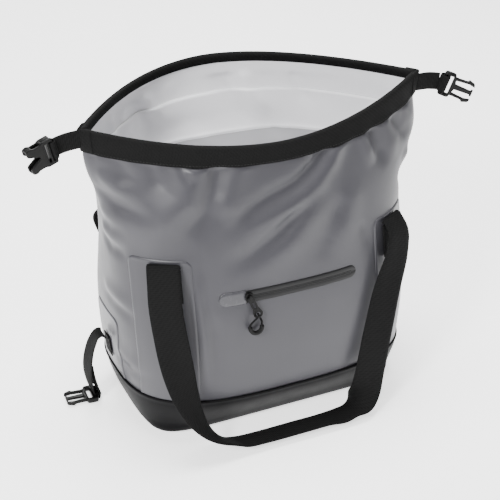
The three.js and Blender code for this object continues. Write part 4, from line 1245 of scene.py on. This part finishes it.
UNDERSIDE = ((0.4, 0.06), (-0.4, 0.06))
TAPE_SECTION = section(
    [(-1, 0.1), (-1.0, 0.7), (-0.9, 1.0), (-0.55, 0.95), (-0.3, 0.9), (-0.12, 0.7)], under=UNDERSIDE
)
strip = wall_strip("zip_band", -58, 84.5, 7.2, TAPE_SECTION, ZIPPED, rounded_end=1)
finish_piece(strip, "bag", "zip_grey", "zip_tape")
COIL_SECTION = section([(-1, 0.5), (-0.9, 0.9), (-0.4, 1.15), (-0.15, 0.8)])
coil = wall_strip("zip_ridge", -57.5, 78, 1.5, COIL_SECTION, ZIPPED)
finish_piece(coil, "bag", "zip_grey", "zip_coil")
GARAGE_SECTION = section(
    [(-1, 0.1), (-0.97, 0.9), (-0.85, 1.25), (-0.5, 1.35)], [(0, 1.4)], UNDERSIDE
)
garage = wall_strip("zip_end_weld", -89.5, -58.4, 8.2, GARAGE_SECTION, GARAGED, rounded_end=-1, columns=61)
finish_piece(garage, "bag", "coated_grey", "zip_garage")

body_outline = rounded(both_sides([(-5.0, -3.6), (-2.8, -5.2), (2.8, -5.2), (5.0, -3.4)]), 1.4)
bridge = rounded(box_outline(-1.3, 1.3, -0.6, 3.6), 0.5)
slider = joined("zip_slider_body", [
    outline_plate("slider_body", [body_outline], 2.5, 0.7, METAL, SLIDER, 3.35),
    outline_plate("slider_bridge", [bridge], 4.7, 0.5, METAL, SLIDER, 6.5),
])
finish_piece(slider, "zip_slider", "zip_metal", "zip_slider")


def pull_outline(length):
    turn = np.linspace(np.pi, 2 * np.pi, 15)
    arc = [(5.8 * math.cos(a), -length + 4.8 + 4.8 * math.sin(a)) for a in turn]
    left = [(-3.6, 1.6), (-3.8, -length + 13), (-5.6, -length + 7)]
    return left + arc + [(-x, y) for x, y in left[::-1]]


def ellipse(x, y, a, b, count=20):
    turn = np.linspace(0, 2 * np.pi, count, endpoint=False)
    return [(x + a * math.cos(t), y + b * math.sin(t)) for t in turn]


PULL = SLIDER @ Matrix.Rotation(math.radians(22), 4, "Z")
tab = outline_plate(
    "pull_tab",
    [
        rounded(pull_outline(26.9), 0.9, 2),
        ellipse(0, -22, 2.7, 2.8),
        rounded(box_outline(-1, 1, -14, -6), 0.8),
    ],
    1.6, 0.5, METAL, PULL, 7.0,
)
finish_piece(tab, "zip_pull", "zip_metal", "zip_pull")


def squared(value):
    """A cosine or sine that makes a circle a little more square."""
    return np.sign(value) * abs(value) ** 0.75


def sweep_tube(name, path, across, radii, sides, material, matrix):
    """A rounded section swept along a path; across is the direction of the section's second radius."""
    path = np.asarray(path, float)
    tangent = np.gradient(path, axis=0)
    tangent /= np.linalg.norm(tangent, axis=1)[:, None]
    rings, uv = [], []
    span = 0.0
    for i, (at, along) in enumerate(zip(path, tangent)):
        other = np.asarray(across, float)
        other = other - other.dot(along) * along
        other /= np.linalg.norm(other)
        side = np.cross(other, along)
        end = min(i, len(path) - 1 - i)
        swell = (0.45, 0.85, 1.0)[min(end, 2)]
        angles = np.arange(sides) / sides * 2 * np.pi
        shape = [(squared(math.cos(a)), squared(math.sin(a))) for a in angles]
        rings.append([at + side * u * radii[0] * swell + other * v * radii[1] * swell for u, v in shape])
        uv.append([(a * radii[0] * MM, span * MM) for a in angles])
        if i + 1 < len(path):
            span += float(np.linalg.norm(path[i + 1] - at))
    made = tube_mesh(name, rings, material, uv)
    made.data.transform(matrix)
    return made


def grip_path():
    turn = np.linspace(np.pi, 2 * np.pi, 25)
    arc = [(4.8 + 7 * math.cos(a), -36.6 + 7 * math.sin(a), 6.8) for a in turn]
    return [(-2.2, -34.2, 6.8), (-2.2, -35.0, 6.8)] + arc + [(11.8, -35.0, 6.8), (11.8, -34.2, 6.8)]


grip = sweep_tube("pull_grip_moulded", grip_path(), (0, 0, 1), (2.6, 2.4), 14, MOULDED, SLIDER)
finish_piece(grip, "pull_loop", "plastic_black", "pull_grip")


# ---------------------------------------------------------------- pieces kept from the CAD, floor, finish
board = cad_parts["base_board"].data
board.materials.clear()
board.materials.append(BOARDED)
FLOOR_HALF = 3.2
FLOOR_DROP = 0.0006


def make_floor():
    points = [(x, y, 0) for x, y in box_outline(-FLOOR_HALF, FLOOR_HALF, -FLOOR_HALF, FLOOR_HALF)]
    mesh = bpy.data.meshes.new("floor")
    mesh.from_pydata(points, [], [(0, 1, 2, 3)])
    mesh.materials.append(FLOORED)
    made = add_object("floor", mesh)
    made.location.z = -FLOOR_DROP


make_floor()
